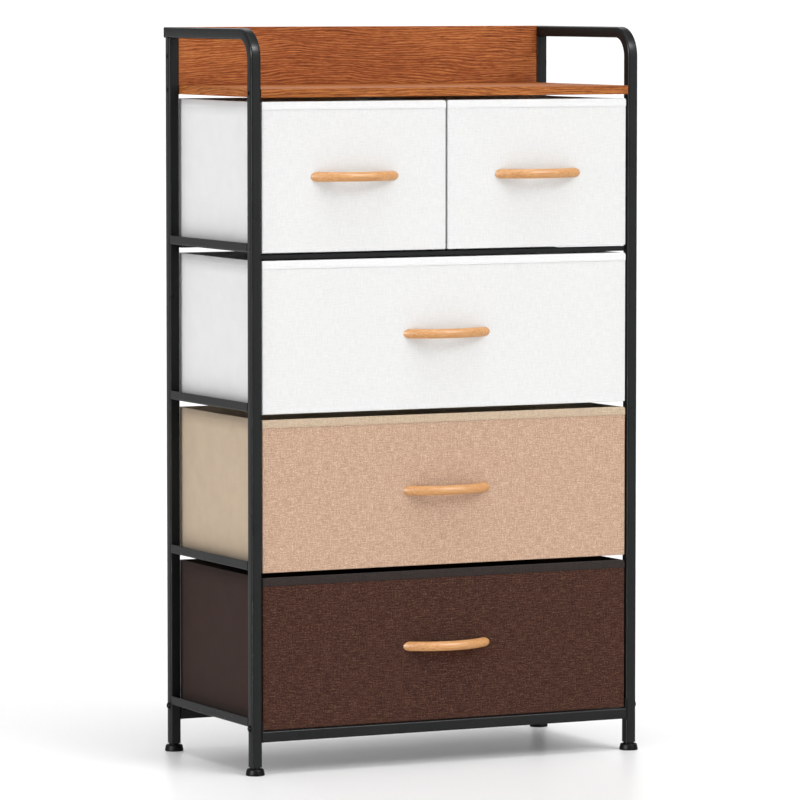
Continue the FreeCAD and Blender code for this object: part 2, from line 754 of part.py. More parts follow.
def make_foot_inserts():
    """Plastic plugs pressed into the lower ends of the posts, each with a threaded hole for a foot."""
    body = new_body("foot_insert")

    def plug(sketch):
        rounded_rectangle(sketch, bore_width, bore_width, s.tube_corner - s.tube_wall)

    pad(body, "plug", XY, post_foot, post_foot + s.foot_insert_height, plug)
    center = new_sketch(body, "thread_center", XY, post_foot + s.foot_insert_height)
    circle(center, 0, 0, s.foot_stem_width)
    doc.recompute()
    hole = body.newObject("PartDesign::Hole", "thread")
    hole.Profile = center
    hole.DepthType = "ThroughAll"
    hole.Diameter = (s.foot_stem_width + 2 * s.thread_clearance).number
    bind(hole, "Diameter", s.foot_stem_width + 2 * s.thread_clearance)
    body.Placement = Placement(Vector(post_x.number, -post_y.number, 0), Rotation())
    bind(body, "Placement.Base.x", post_x)
    bind(body, "Placement.Base.y", -post_y)
    inserts = four_corners("foot_inserts", body)
    place(inserts)
    keep(inserts)


def make_foot(label, x, y):
    """Turned levelling foot with a threaded stem."""
    body = new_body(label)
    sketch = new_sketch(body, "half_section", XZ)
    base, rim, edge = s.foot_base_width / 2, s.foot_rim_width / 2, s.foot_edge
    neck, stem = s.foot_neck_width / 2, s.foot_stem_width / 2
    top = post_foot + s.foot_stem_length
    corners = [(0, 0), (base - edge, 0), (base, edge), (rim, s.foot_base_height - edge)]
    corners += [(rim - edge, s.foot_base_height), (neck, s.foot_base_height), (neck, post_foot)]
    corners += [(stem, post_foot), (stem, top), (0, top)]
    polygon(sketch, corners)
    revolution(body, "turned", sketch)
    place(body, x, y, 0)
    return keep(body)


def make_feet():
    for depth_name, y in (("front", -post_y), ("rear", post_y)):
        for side_name, x in (("left", -post_x), ("right", post_x)):
            make_foot(f"{depth_name}_{side_name}_foot", x, y)


# ---------------------------------------------------------------- drawers

# A drawer's own origin is at the middle of the lower edge of its front's face.

front_depth = s.cover_fabric + s.front_board
lining_depth = front_depth + s.bin_lining
bin_depth = s.overall_depth - s.front_recess - s.bin_rear_gap


def handle_holes(body, name, low, high, drawer, width):
    """Two holes for the handle's screws, front to back."""

    def pair(sketch):
        for x in (-s.handle_screw_spacing / 2, s.handle_screw_spacing / 2):
            circle(sketch, x, drawer.height / 2, width)

    return pocket(body, name, XZ, low, high, pair)


def round_top_corners(body, name, base, half, top, radius):
    def chosen(edge):
        return is_fold(edge, "Y", half, top) or is_fold(edge, "Y", -half, top)

    return rounded_edges(body, name, base, radius, chosen)


def make_bin(drawer):
    """Open fabric box with sewn corners; its front wall is the lining behind the front board."""
    body = new_body(f"{drawer.name}_bin")
    side = drawer.width / 2 - s.bin_inset
    inside = side - s.bin_wall

    def box_outline(sketch):
        rectangle(sketch, -side, side, front_depth, bin_depth)

    def hollow_outline(sketch):
        rectangle(sketch, -inside, inside, lining_depth, bin_depth - s.bin_wall)

    def skirt_outline(sketch):
        rectangle(sketch, -side, side, 0, drawer.floor)

    def rear_corner(edge):
        return is_fold(edge, "Z", side, bin_depth) or is_fold(edge, "Z", -side, bin_depth)

    box = pad(body, "box", XY, drawer.floor, drawer.height, box_outline)
    rounded_edges(body, "rear_corners", box, s.bin_corner, rear_corner)
    pocket(body, "hollow", XY, drawer.floor + s.bin_floor, drawer.height, hollow_outline)
    pad(body, "lining_skirt", XZ, front_depth, lining_depth, skirt_outline)
    screw_hole = s.handle_screw_width + 2 * s.bolt_clearance
    handle_holes(body, "handle_holes", front_depth, lining_depth, drawer, screw_hole)
    return body


def make_front_board(drawer):
    """Stiff board inside the front, between the cover and the lining."""
    body = new_body(f"{drawer.name}_front_board")
    half = drawer.width / 2 - s.cover_fabric
    low, top = s.cover_fabric, drawer.height - s.cover_fabric

    def outline(sketch):
        rectangle(sketch, -half, half, low, top)

    flat = pad(body, "board", XZ, s.cover_fabric, front_depth, outline)
    round_top_corners(body, "corners", flat, half, top, s.front_corner - s.cover_fabric)
    screw_hole = s.handle_screw_width + 2 * s.bolt_clearance
    handle_holes(body, "handle_holes", s.cover_fabric, front_depth, drawer, screw_hole)
    return body


def make_front_cover(drawer):
    """Woven fabric round the front board, with a doubled hem along its upper edge."""
    body = new_body(f"{drawer.name}_front_cover")
    half = drawer.width / 2
    board_side = half - s.cover_fabric
    board_low, board_high = s.cover_fabric, drawer.height - s.cover_fabric
    hem_low = drawer.height - s.hem_height

    def wrap_outline(sketch):
        rectangle(sketch, -half, half, 0, drawer.height)

    def board_outline(sketch):
        rectangle(sketch, -board_side, board_side, board_low, board_high)

    def hem_outline(sketch):
        rectangle(sketch, -half, half, hem_low, drawer.height)

    pad(body, "wrap", XZ, 0, front_depth, wrap_outline)
    pad(body, "hem", XZ, -s.hem_fold, 0, hem_outline)
    space = pocket(body, "board_space", XZ, s.cover_fabric, front_depth, board_outline)
    inner_corner = s.front_corner - s.cover_fabric
    rounded_space = round_top_corners(body, "space_corners", space, board_side, board_high, inner_corner)
    round_top_corners(body, "outer_corners", rounded_space, half, drawer.height, s.front_corner)
    screw_hole = s.handle_screw_width + 2 * s.bolt_clearance
    handle_holes(body, "handle_holes", 0, s.cover_fabric, drawer, screw_hole)
    return body


def make_base_board(drawer):
    """Loose stiff board that keeps the fabric floor flat."""
    body = new_body(f"{drawer.name}_base_board")
    half = drawer.width / 2 - s.bin_inset - s.bin_wall - s.base_board_gap
    front, rear = lining_depth + s.base_board_gap, bin_depth - s.bin_wall - s.base_board_gap
    low = drawer.floor + s.bin_floor
    flat = pad(
        body,
        "board",
        XY,
        low,
        low + s.base_board,
        lambda sketch: rectangle(sketch, -half, half, front, rear),
    )

    def rear_corner(edge):
        return is_fold(edge, "Z", half, rear) or is_fold(edge, "Z", -half, rear)

    rounded_edges(body, "rear_corners", flat, s.bin_corner - s.bin_wall, rear_corner)
    return body


def make_handle(drawer):
    """Bow handle: a round bar bent to an arc and cut flat where it meets the drawer front."""
    body = new_body(f"{drawer.name}_handle")
    reach, half_length, bar = s.handle_projection, s.handle_length / 2, s.handle_width / 2
    outer_radius = (half_length * half_length + reach * reach) / (2 * reach)
    center_y = outer_radius - reach
    arc_radius = outer_radius - bar
    buried = bar
    half_angle = angle_of_cosine((center_y - buried) / arc_radius)

    section = new_sketch(body, "bar_section", YZ)
    circle(section, bar - reach, 0, s.handle_width)
    axis_ends = [Vector(center_y.number, end, 0) for end in (-bar.number, bar.number)]
    axis = section.addGeometry(Part.LineSegment(*axis_ends), True)
    pin_point(section, axis, 1, center_y, -bar)
    pin_point(section, axis, 2, center_y, bar)
    bow = body.newObject("PartDesign::Revolution", "bow")
    bow.Profile = section
    bow.ReferenceAxis = (section, ["Axis0"])
    bow.Midplane = True
    bow.Angle = 2 * half_angle.number
    bind(bow, "Angle", 2 * half_angle)
    behind = outer_radius - reach
    pocket(
        body,
        "seat",
        XZ,
        0,
        behind,
        lambda sketch: rectangle(sketch, -s.handle_length, s.handle_length, -s.handle_width, s.handle_width),
    )

    def pilots(sketch):
        for x in (-s.handle_screw_spacing / 2, s.handle_screw_spacing / 2):
            circle(sketch, x, 0, s.handle_screw_width + 2 * s.thread_clearance)

    pocket(body, "pilot_holes", XZ, -s.handle_screw_bite - s.thread_clearance, 0, pilots)
    return body


def make_handle_screws(drawer):
    """Two screws from inside the drawer into the feet of the handle."""
    body = new_body(f"{drawer.name}_handle_screw")
    sketch = new_sketch(body, "half_section", XY)
    shank, head = s.handle_screw_width / 2, s.handle_screw_head_width / 2
    tip, seat = -s.handle_screw_bite, lining_depth
    crown = seat + s.handle_screw_head_height
    corners = [(0, tip), (shank, tip), (shank, seat), (head, seat)]
    corners += [(head, seat + s.handle_screw_head_height / 2), (head * 0.6, crown), (0, crown)]
    polygon(sketch, corners)
    revolution(body, "turned", sketch)
    body.Placement = Placement(Vector(s.handle_screw_spacing.number / 2, 0, 0), Rotation())
    bind(body, "Placement.Base.x", s.handle_screw_spacing / 2)
    return left_and_right(f"{drawer.name}_handle_screws", body)


def make_drawer(name, x, bottom, width, height, tier):
    """One fabric drawer with its front, floor board and handle, seated on its runners."""
    floor = tier + s.sheet + s.slide_clearance - bottom
    drawer = SimpleNamespace(name=name, width=width, height=height, floor=floor)
    front_y = s.front_recess - s.overall_depth / 2
    for make in (make_bin, make_front_board, make_front_cover, make_base_board):
        place(keep(make(drawer)), x, front_y, bottom)
    for make in (make_handle, make_handle_screws):
        place(keep(make(drawer)), x, front_y, bottom + height / 2)


def make_drawers():
    wide = inner_width - 2 * s.front_side_gap
    small = (wide - s.front_middle_gap) / 2
    small_x = (small + s.front_middle_gap) / 2
    make_drawer("upper_left", -small_x, small_bottom, small, s.small_front_height, tier_1)
    make_drawer("upper_right", small_x, small_bottom, small, s.small_front_height, tier_1)
    make_drawer("second", as_size(0), second_bottom, wide, wide_front_height, tier_2)
    make_drawer("third", as_size(0), third_bottom, wide, wide_front_height, tier_3)
    make_drawer("bottom", as_size(0), bottom_front_low, wide, wide_front_height, tier_4)


# ---------------------------------------------------------------- build, check and write


def check(items):
    """Stops if any object of the document failed or any piece isn't a set of valid solids."""
    faults = []
    for item in doc.Objects:
        if any(word in state for state in item.State for word in ("Invalid", "Error")):
            faults.append(f"{item.Label}: {item.State}")
    for item in items:
        shape = item.Shape
        if shape.isNull() or not shape.isValid() or not shape.Solids:
            faults.append(f"{item.Label}: its shape isn't a valid solid")
    if faults:
        raise RuntimeError("; ".join(faults))


def write(items):
    os.makedirs("parts", exist_ok=True)
    for item in items:
        item.Shape.exportStep(os.path.join("parts", f"{item.Label}.step"))


make_side_frames()
make_bottom_rail("front_bottom_rail", -post_y)
make_bottom_rail("rear_bottom_rail", post_y)
make_front_mid_rail()
make_rear_mid_rail()
make_center_runner()
make_top_board()
make_back_panel()
make_frame_fasteners()
make_end_caps()
make_foot_inserts()
make_feet()
make_drawers()
doc.recompute()
check(NODES)
write(NODES)
print(f"{len(NODES)} pieces written")
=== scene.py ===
import logging
import math
from dataclasses import dataclass, field
from enum import Enum
from functools import cache
from typing import Iterable

import bmesh
import bpy
from bmesh.types import BMEdge, BMesh, BMVert
from bpy.types import Material, Node, NodeSocket, NodeTree, Object
from mathutils import Matrix, Vector, noise


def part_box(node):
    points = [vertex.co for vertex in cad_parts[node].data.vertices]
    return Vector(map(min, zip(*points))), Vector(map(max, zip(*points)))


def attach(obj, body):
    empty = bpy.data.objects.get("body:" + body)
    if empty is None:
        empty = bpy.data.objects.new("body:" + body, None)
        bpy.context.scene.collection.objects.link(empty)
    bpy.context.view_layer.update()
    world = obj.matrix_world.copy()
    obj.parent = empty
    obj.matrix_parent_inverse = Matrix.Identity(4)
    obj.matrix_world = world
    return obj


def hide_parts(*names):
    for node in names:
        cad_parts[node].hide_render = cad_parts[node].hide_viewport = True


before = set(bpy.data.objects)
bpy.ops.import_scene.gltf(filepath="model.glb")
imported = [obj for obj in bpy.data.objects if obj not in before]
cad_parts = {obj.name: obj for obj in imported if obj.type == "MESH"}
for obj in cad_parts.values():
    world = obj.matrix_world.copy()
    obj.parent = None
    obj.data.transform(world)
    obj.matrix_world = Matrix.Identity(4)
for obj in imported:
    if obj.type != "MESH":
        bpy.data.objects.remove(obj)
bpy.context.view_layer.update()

# A five-drawer fabric dresser: steel tube frame, wooden top and back panel, soft drawers with bow handles.
# Every length is in metres, X to the right, Y to the back, Z up, with the floor at Z = 0.

log = logging.getLogger("dresser")

Color = tuple[float, float, float, float]
Triple = tuple[float, float, float]
Inputs = dict[str | int, object]

MM = 0.001
NEAR = 0.1 * MM
MERGE_DISTANCE = 0.005 * MM
SHARP_EDGE = math.radians(38)
CORNER = math.radians(30)
FOLD = math.radians(60)
SURFACE_UV = "surface"
PURE_WHITE = (1.0, 1.0, 1.0, 1.0)


# ----- small shared types -----


class Axis(Enum):
    """A coordinate axis, by its place in a vector."""

    X = 0
    Y = 1
    Z = 2


class Recess(Enum):
    """The drive that is sunk into a screw's head."""

    HEX = "hexagon socket"
    CROSS = "cross recess"


@dataclass(frozen=True)
class Box:
    """An upright box between two corners."""

    low: Vector
    high: Vector

    @classmethod
    def of_node(cls, node: str) -> "Box":
        """The box of a node of the frame at rest."""
        return cls(*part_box(node))

    @property
    def center(self) -> Vector:
        """The middle of the box."""
        return (self.low + self.high) / 2

    @property
    def size(self) -> Vector:
        """The box's three sides."""
        return self.high - self.low


def srgb(red: int, green: int, blue: int) -> Color:
    """Turns a display colour, with channels from 0 to 255, into the linear colour that a shader takes."""
    channels = [value / 255 for value in (red, green, blue)]
    return (*(c / 12.92 if c <= 0.04045 else ((c + 0.055) / 1.055) ** 2.4 for c in channels), 1.0)


def scaled(color: Color, factor: float) -> Color:
    """A darker or lighter tone of a colour."""
    return (*(min(1.0, channel * factor) for channel in color[:3]), 1.0)


# ----- shader nodes -----


def set_inputs(node: Node, inputs: Inputs) -> None:
    """Links a node's inputs to other sockets, or sets their constant values.

    Args:
        node: The node.
        inputs: Sockets and constants, by the input's name or place.
    """
    for key, value in inputs.items():
        if isinstance(value, NodeSocket):
            node.id_data.links.new(value, node.inputs[key])
        else:
            node.inputs[key].default_value = value


def add_node(tree: NodeTree, kind: str, inputs: Inputs, **settings: object) -> Node:
    """Adds a node to a tree.

    Args:
        tree: The tree.
        kind: The node's type, after the word ShaderNode.
        inputs: Sockets and constants, by the input's name or place.
        settings: The node's own settings.

    Returns:
        The node.
    """
    node = tree.nodes.new(f"ShaderNode{kind}")
    for name, value in settings.items():
        setattr(node, name, value)
    set_inputs(node, inputs)
    return node


class NodeGraph:
    """A material's node tree, with one method for each step that the finishes share."""

    def __init__(self, name: str) -> None:
        """Makes an empty material with one principled shader.

        Args:
            name: The material's name.
        """
        self.material = bpy.data.materials.new(name)
        self.material.use_nodes = True
        self.tree = self.material.node_tree
        self.tree.nodes.clear()
        self.shader = add_node(self.tree, "BsdfPrincipled", {})
        add_node(self.tree, "OutputMaterial", {"Surface": self.shader.outputs["BSDF"]})

    def add(self, kind: str, output: str, inputs: Inputs, **settings: object) -> NodeSocket:
        """Adds a node and gives its output of that name."""
        return add_node(self.tree, kind, inputs, **settings).outputs[output]

    def place(self) -> NodeSocket:
        """The place on the piece, in metres."""
        return self.add("TexCoord", "Object", {})

    def surface_place(self) -> NodeSocket:
        """The place along the surface's threads or grain, in metres."""
        return self.add("UVMap", "UV", {}, uv_map=SURFACE_UV)

    def stretched(self, vector: NodeSocket, scale: Triple, turn: float = 0.0) -> NodeSocket:
        """Coordinates scaled along each axis and turned about Z, in radians."""
        return self.add("Mapping", "Vector", {"Vector": vector, "Scale": scale, "Rotation": (0, 0, turn)})

    def noise(
        self, vector: NodeSocket, scale: float, detail: float, roughness: float, distortion: float = 0.0
    ) -> NodeSocket:
        """Fractal noise from 0 to 1, with scale cells to the metre and detail finer layers."""
        inputs = {"Vector": vector, "Scale": scale, "Detail": detail, "Roughness": roughness}
        return self.add("TexNoise", "Fac", inputs | {"Distortion": distortion})

    def bands(
        self, vector: NodeSocket, across: Axis, scale: float, distortion: float, detail: float, detail_scale: float
    ) -> NodeSocket:
        """Soft stripes across an axis, from 0 to 1, that the distortion lets wander."""
        wander = {"Distortion": distortion, "Detail": detail, "Detail Scale": detail_scale}
        return self.add("TexWave", "Fac", {"Vector": vector, "Scale": scale} | wander, bands_direction=across.name)

    def math(self, operation: str, first: object, second: object) -> NodeSocket:
        """The result of a calculation on two sockets or numbers."""
        return self.add("Math", "Value", {0: first, 1: second}, operation=operation)

    def weighted(self, *parts: tuple[NodeSocket, float]) -> NodeSocket:
        """Adds values, each times its own weight.

        Args:
            parts: Values with their weights.

        Returns:
            The sum.
        """
        total, *others = [self.math("MULTIPLY", value, weight) for value, weight in parts]
        for share in others:
            total = self.math("ADD", total, share)
        return total

    def shifted(self, vector: NodeSocket, amount: NodeSocket, step: Triple) -> NodeSocket:
        """Coordinates moved along a step, by an amount that varies."""
        return self.add("VectorMath", "Vector", {0: amount, 1: step, 2: vector}, operation="MULTIPLY_ADD")

    def spread(self, value: NodeSocket, low: float, high: float) -> NodeSocket:
        """Stretches a value from the range 0.3 to 0.7, where noise mostly lies, to low and high."""
        inputs = {"Value": value, "From Min": 0.3, "From Max": 0.7, "To Min": low, "To Max": high}
        return self.add("MapRange", "Result", inputs)

    def ramp(self, value: NodeSocket, *stops: tuple[float, Color]) -> NodeSocket:
        """Turns a value into a colour.

        Args:
            value: The value, from 0 to 1.
            stops: Places on the ramp with their colours, in order.

        Returns:
            The colour.
        """
        node = add_node(self.tree, "ValToRGB", {"Fac": value})
        elements = node.color_ramp.elements
        while len(elements) < len(stops):
            elements.new(0.5)
        for element, (place, color) in zip(elements, stops):
            element.position = place
            element.color = color
        return node.outputs["Color"]

    def shaded(self, color: NodeSocket, shade: NodeSocket, share: float) -> NodeSocket:
        """Multiplies a colour by another one.

        Args:
            color: The colour.
            shade: The other colour.
            share: How much of the change is used.

        Returns:
            The shaded colour.
        """
        node = add_node(self.tree, "Mix", {}, data_type="RGBA", blend_type="MULTIPLY")
        places = [number for number, socket in enumerate(node.inputs) if socket.type == "RGBA"]
        set_inputs(node, {"Factor": share, places[0]: color, places[1]: shade})
        return next(socket for socket in node.outputs if socket.type == "RGBA")

    def pressed(self, height: NodeSocket, depth: float, strength: float) -> NodeSocket:
        """The normal of a surface into which a pattern from 0 to 1 is pressed, to a depth in metres."""
        return self.add("Bump", "Normal", {"Strength": strength, "Distance": depth, "Height": height})


# ----- finishes -----


@dataclass(frozen=True)
class Finish:
    """A surface finish. Each kind says what feeds the inputs of its shader."""

    name: str

    def inputs(self, graph: NodeGraph) -> Inputs:
        """Sockets and constants for the shader, by the input's name."""
        raise NotImplementedError

    def build(self) -> Material:
        """Makes the material.

        Returns:
            The material.
        """
        graph = NodeGraph(self.name)
        set_inputs(graph.shader, self.inputs(graph))
        return graph.material


@dataclass(frozen=True)
class PowderCoat(Finish):
    """Satin powder coat on steel: slightly pebbled, a little uneven in gloss."""

    color: Color
    roughness: float
    specular: float

    def inputs(self, graph: NodeGraph) -> Inputs:
        """The coat's shader.

        Args:
            graph: The material's graph.

        Returns:
            What feeds the shader's inputs.
        """
        place = graph.place()
        pebbles = graph.noise(place, 900, detail=3, roughness=0.6)
        patches = graph.noise(place, 14, detail=4, roughness=0.6)
        return {
            "Base Color": graph.ramp(patches, (0.35, scaled(self.color, 0.82)), (0.65, self.color)),
            "Roughness": graph.spread(patches, self.roughness - 0.05, self.roughness + 0.07),
            "Specular IOR Level": self.specular,
            "Normal": graph.pressed(pebbles, 0.12 * MM, strength=0.35),
        }


@dataclass(frozen=True)
class BoardWood(Finish):
    """Reddish-brown wood with fine wavy grain along each face, satin lacquer."""

    dark: Color
    middle: Color
    light: Color

    def inputs(self, graph: NodeGraph) -> Inputs:
        """The wood's shader.

        Args:
            graph: The material's graph.

        Returns:
            What feeds the shader's inputs.
        """
        along = graph.surface_place()
        drift = graph.noise(graph.stretched(along, (3.2, 9.0, 1.0)), 1.0, detail=3, roughness=0.5)
        wavy = graph.shifted(along, drift, (0.0, 0.036, 0.0))
        lines = graph.bands(
            graph.stretched(wavy, (0.13, 1.0, 1.0)), Axis.Y, 92, distortion=7.0, detail=3.0, detail_scale=1.1
        )
        streaks = graph.noise(graph.stretched(wavy, (22.0, 860.0, 1.0)), 1.0, 2, 0.6, distortion=0.6)
        pores = graph.noise(graph.stretched(wavy, (90.0, 1250.0, 1.0)), 1.0, 2, 0.6, distortion=0.5)
        clouds = graph.noise(graph.stretched(along, (4.0, 14.0, 1.0)), 1.0, detail=3, roughness=0.5)
        tone = graph.weighted((lines, 0.13), (streaks, 0.5), (clouds, 0.24), (pores, 0.3))
        color = graph.ramp(tone, (0.43, self.dark), (0.585, self.middle), (0.74, self.light))
        pore_shade = graph.ramp(pores, (0.32, (0.66, 0.51, 0.4, 1.0)), (0.46, PURE_WHITE))
        return {
            "Base Color": graph.shaded(color, pore_shade, 0.7),
            "Roughness": graph.spread(streaks, 0.6, 0.48),
            "Specular IOR Level": 0.09,
            "Normal": graph.pressed(graph.weighted((pores, 0.6), (streaks, 0.4)), 0.12 * MM, strength=0.5),
        }


@dataclass(frozen=True)
class HandleWood(Finish):
    """Pale wood with fine straight grain along X under a clear satin lacquer."""

    dark: Color
    light: Color

    def inputs(self, graph: NodeGraph) -> Inputs:
        """The wood's shader.

        Args:
            graph: The material's graph.

        Returns:
            What feeds the shader's inputs.
        """
        place = graph.place()
        grain = graph.noise(graph.stretched(place, (5.0, 480.0, 480.0)), 1.0, detail=3, roughness=0.55)
        flecks = graph.noise(graph.stretched(place, (60.0, 1700.0, 1700.0)), 1.0, detail=2, roughness=0.5)
        tone = graph.weighted((grain, 0.75), (flecks, 0.25))
        return {
            "Base Color": graph.ramp(tone, (0.34, self.dark), (0.62, self.light)),
            "Roughness": graph.spread(grain, 0.46, 0.4),
            "Specular IOR Level": 0.3,
            "Normal": graph.pressed(flecks, 0.04 * MM, strength=0.35),
        }


@dataclass(frozen=True)
class Linen(Finish):
    """Plain-woven linen look: warp and weft threads with slubs and a heathered tone."""

    dark: Color
    middle: Color
    light: Color
    pitch: float = 0.7 * MM
    warp_share: float = 0.28
    weft_share: float = 0.32
    speckle_share: float = 0.4
    contrast: float = 1.0
    sheen: float = 0.04
    twill: bool = False

    def inputs(self, graph: NodeGraph) -> Inputs:
        """The cloth's shader.

        Args:
            graph: The material's graph.

        Returns:
            What feeds the shader's inputs.
        """
        cloth = graph.surface_place()
        laid = graph.stretched(cloth, (1, 1, 1), math.radians(45) if self.twill else 0)
        threads = math.pi / (10 * self.pitch)
        warp, weft = (
            graph.bands(laid, axis, threads, distortion=0.4, detail=1.0, detail_scale=40) for axis in (Axis.X, Axis.Y)
        )
        crossing = graph.math("MAXIMUM", warp, weft)
        warp_slubs = graph.noise(graph.stretched(cloth, (620, 75, 1)), 1.0, detail=3, roughness=0.6)
        weft_slubs = graph.noise(graph.stretched(cloth, (75, 620, 1)), 1.0, detail=3, roughness=0.6)
        speckles = graph.noise(graph.stretched(cloth, (460, 620, 1)), 1.0, detail=1, roughness=0.5)
        tone = graph.weighted(
            (warp_slubs, self.warp_share), (weft_slubs, self.weft_share), (speckles, self.speckle_share)
        )
        half = 0.13 / self.contrast
        color = graph.ramp(tone, (0.5 - half, self.dark), (0.5, self.middle), (0.5 + half, self.light))
        gaps = graph.ramp(crossing, (0.0, (0.84, 0.84, 0.84, 1.0)), (0.55, PURE_WHITE))
        return {
            "Base Color": graph.shaded(color, gaps, 0.6),
            "Roughness": graph.spread(tone, 0.95, 0.82),
            "Specular IOR Level": 0.1,
            "Sheen Weight": self.sheen,
            "Sheen Roughness": 0.6,
            "Normal": graph.pressed(graph.weighted((crossing, 0.5), (tone, 0.7)), 0.2 * MM, strength=0.5),
        }


@dataclass(frozen=True)
class FeltedFabric(Finish):
    """Bonded non-woven fabric: matt, fibrous, with a faint grid of bond points."""

    dark: Color
    light: Color

    def inputs(self, graph: NodeGraph) -> Inputs:
        """The fabric's shader.

        Args:
            graph: The material's graph.

        Returns:
            What feeds the shader's inputs.
        """
        cloth = graph.surface_place()
        fibers = graph.noise(cloth, 1100, 3, 0.7, distortion=0.6)
        clouds = graph.noise(cloth, 34, detail=4, roughness=0.6)
        dots = graph.add("TexVoronoi", "Distance", {"Vector": cloth, "Scale": 620, "Randomness": 0.15})
        points = graph.ramp(dots, (0.12, (0, 0, 0, 1)), (0.3, PURE_WHITE))
        tone = graph.weighted((clouds, 0.45), (fibers, 0.55))
        return {
            "Base Color": graph.ramp(tone, (0.38, self.dark), (0.62, self.light)),
            "Roughness": graph.spread(fibers, 0.8, 0.92),
            "Specular IOR Level": 0.12,
            "Sheen Weight": 0.03,
            "Normal": graph.pressed(graph.weighted((fibers, 0.5), (points, 0.3)), 0.1 * MM, strength=0.4),
        }


@dataclass(frozen=True)
class PressedBoard(Finish):
    """Grey-brown pressed fibre board with short chips."""

    dark: Color
    light: Color

    def inputs(self, graph: NodeGraph) -> Inputs:
        """The board's shader.

        Args:
            graph: The material's graph.

        Returns:
            What feeds the shader's inputs.
        """
        place = graph.place()
        chips = graph.noise(place, 420, 5, 0.75, distortion=0.8)
        clouds = graph.noise(place, 18, detail=3, roughness=0.5)
        tone = graph.weighted((chips, 0.7), (clouds, 0.3))
        return {
            "Base Color": graph.ramp(tone, (0.36, self.dark), (0.62, self.light)),
            "Roughness": graph.spread(chips, 0.9, 0.75),
            "Specular IOR Level": 0.2,
            "Normal": graph.pressed(chips, 0.1 * MM, strength=0.4),
        }


@dataclass(frozen=True)
class PlainMetal(Finish):
    """Plated or blackened metal of a screw, with faint turning marks."""

    color: Color
    metallic: float
    roughness: float
    specular: float = 0.5

    def inputs(self, graph: NodeGraph) -> Inputs:
        """The metal's shader.

        Args:
            graph: The material's graph.

        Returns:
            What feeds the shader's inputs.
        """
        place = graph.place()
        marks = graph.noise(place, 2400, detail=2, roughness=0.6)
        stains = graph.noise(place, 320, detail=3, roughness=0.5)
        return {
            "Base Color": graph.ramp(stains, (0.3, scaled(self.color, 0.7)), (0.6, self.color)),
            "Metallic": self.metallic,
            "Specular IOR Level": self.specular,
            "Roughness": graph.spread(marks, self.roughness - 0.08, self.roughness + 0.1),
            "Normal": graph.pressed(marks, 0.02 * MM, strength=0.4),
        }


@dataclass(frozen=True)
class MouldedPlastic(Finish):
    """Matt moulded plastic with a fine spark texture."""

    color: Color

    def inputs(self, graph: NodeGraph) -> Inputs:
        """The plastic's shader.

        Args:
            graph: The material's graph.

        Returns:
            What feeds the shader's inputs.
        """
        place = graph.place()
        spark = graph.noise(place, 1800, detail=2, roughness=0.6)
        wear = graph.noise(place, 60, detail=4, roughness=0.6)
        return {
            "Base Color": graph.ramp(wear, (0.4, self.color), (0.72, scaled(self.color, 1.5))),
            "Roughness": graph.spread(wear, 0.42, 0.54),
            "Specular IOR Level": 0.07,
            "Normal": graph.pressed(spark, 0.06 * MM, strength=0.4),
        }


@dataclass(frozen=True)
class StudioFloor(Finish):
    """Smooth pale studio floor with a faint soft reflection, which glows a little."""

    color: Color
    glow: float

    def inputs(self, graph: NodeGraph) -> Inputs:
        """The floor's shader.

        Args:
            graph: The material's graph.

        Returns:
            What feeds the shader's inputs.
        """
        clouds = graph.noise(graph.place(), 1.5, detail=2, roughness=0.5)
        return {
            "Base Color": graph.ramp(clouds, (0.3, scaled(self.color, 0.995)), (0.7, self.color)),
            "Roughness": 0.32,
            "Specular IOR Level": 0.25,
            "Emission Color": PURE_WHITE,
            "Emission Strength": self.glow,
        }


@cache
def material_of(finish: Finish) -> Material:
    """The finish's material, made once."""
    return finish.build()


STEEL = PowderCoat("charcoal_powder_coat", srgb(27, 28, 28), roughness=0.3, specular=0.08)
BLACK_SCREW = PlainMetal("blackened_screw", srgb(5, 5, 5), 0.0, 0.5, specular=0.06)
BLACK_BOLT = PlainMetal("polished_black_bolt", srgb(4, 4, 4), 0.0, 0.2, specular=0.07)
ZINC = PlainMetal("zinc_plated_screw", srgb(196, 198, 200), 1.0, 0.34)
PLASTIC = MouldedPlastic("black_plastic", srgb(4, 4, 4))
TOP_WOOD = BoardWood("red_brown_wood", srgb(104, 50, 12), srgb(149, 84, 36), srgb(189, 119, 62))
# The back panel is the top's wood, painted a little lighter to make up for the shade that the top board and the side
# rails throw on it.
PANEL_WOOD_WITH_PAINTED_LIGHT = BoardWood("panel_wood_painted_lighter", srgb(100, 43, 11), srgb(153, 82, 37), srgb(199, 126, 68))
PALE_WOOD = HandleWood("pale_handle_wood", srgb(178, 123, 72), srgb(204, 153, 100))
FIBRE = PressedBoard("pressed_fibre_board", srgb(126, 100, 74), srgb(168, 140, 108))
FLOOR = StudioFloor("studio_floor", (0.72, 0.72, 0.72, 1.0), glow=0.12)


@dataclass(frozen=True)
class DrawerFabrics:
    """The cloths of one drawer and its material slots."""

    front: Linen
    hem: Linen
    sides: FeltedFabric
    thread: Linen
    front_slot: str
    side_slot: str


def fabrics(color_name: str, front: Linen, hem: tuple[Color, ...], sides: tuple[Color, ...]) -> DrawerFabrics:
    """Puts together the finishes of a drawer of one colour.

    Args:
        color_name: The colour's name, as in the record's material slots.
        front: The cloth of the front.
        hem: Dark, middle and light tone of the hem tape.
        sides: Dark and light tone of the sides.

    Returns:
        The drawer's cloths.
    """
    return DrawerFabrics(
        front=front,
        hem=Linen(f"{color_name}_hem_tape", *hem, pitch=1.6 * MM, twill=True),
        sides=FeltedFabric(f"{color_name}_side_cloth", *sides),
        thread=Linen(f"{color_name}_thread", *hem, pitch=0.15 * MM),
        front_slot=f"{color_name}_linen",
        side_slot=f"{color_name}_bin_fabric",
    )


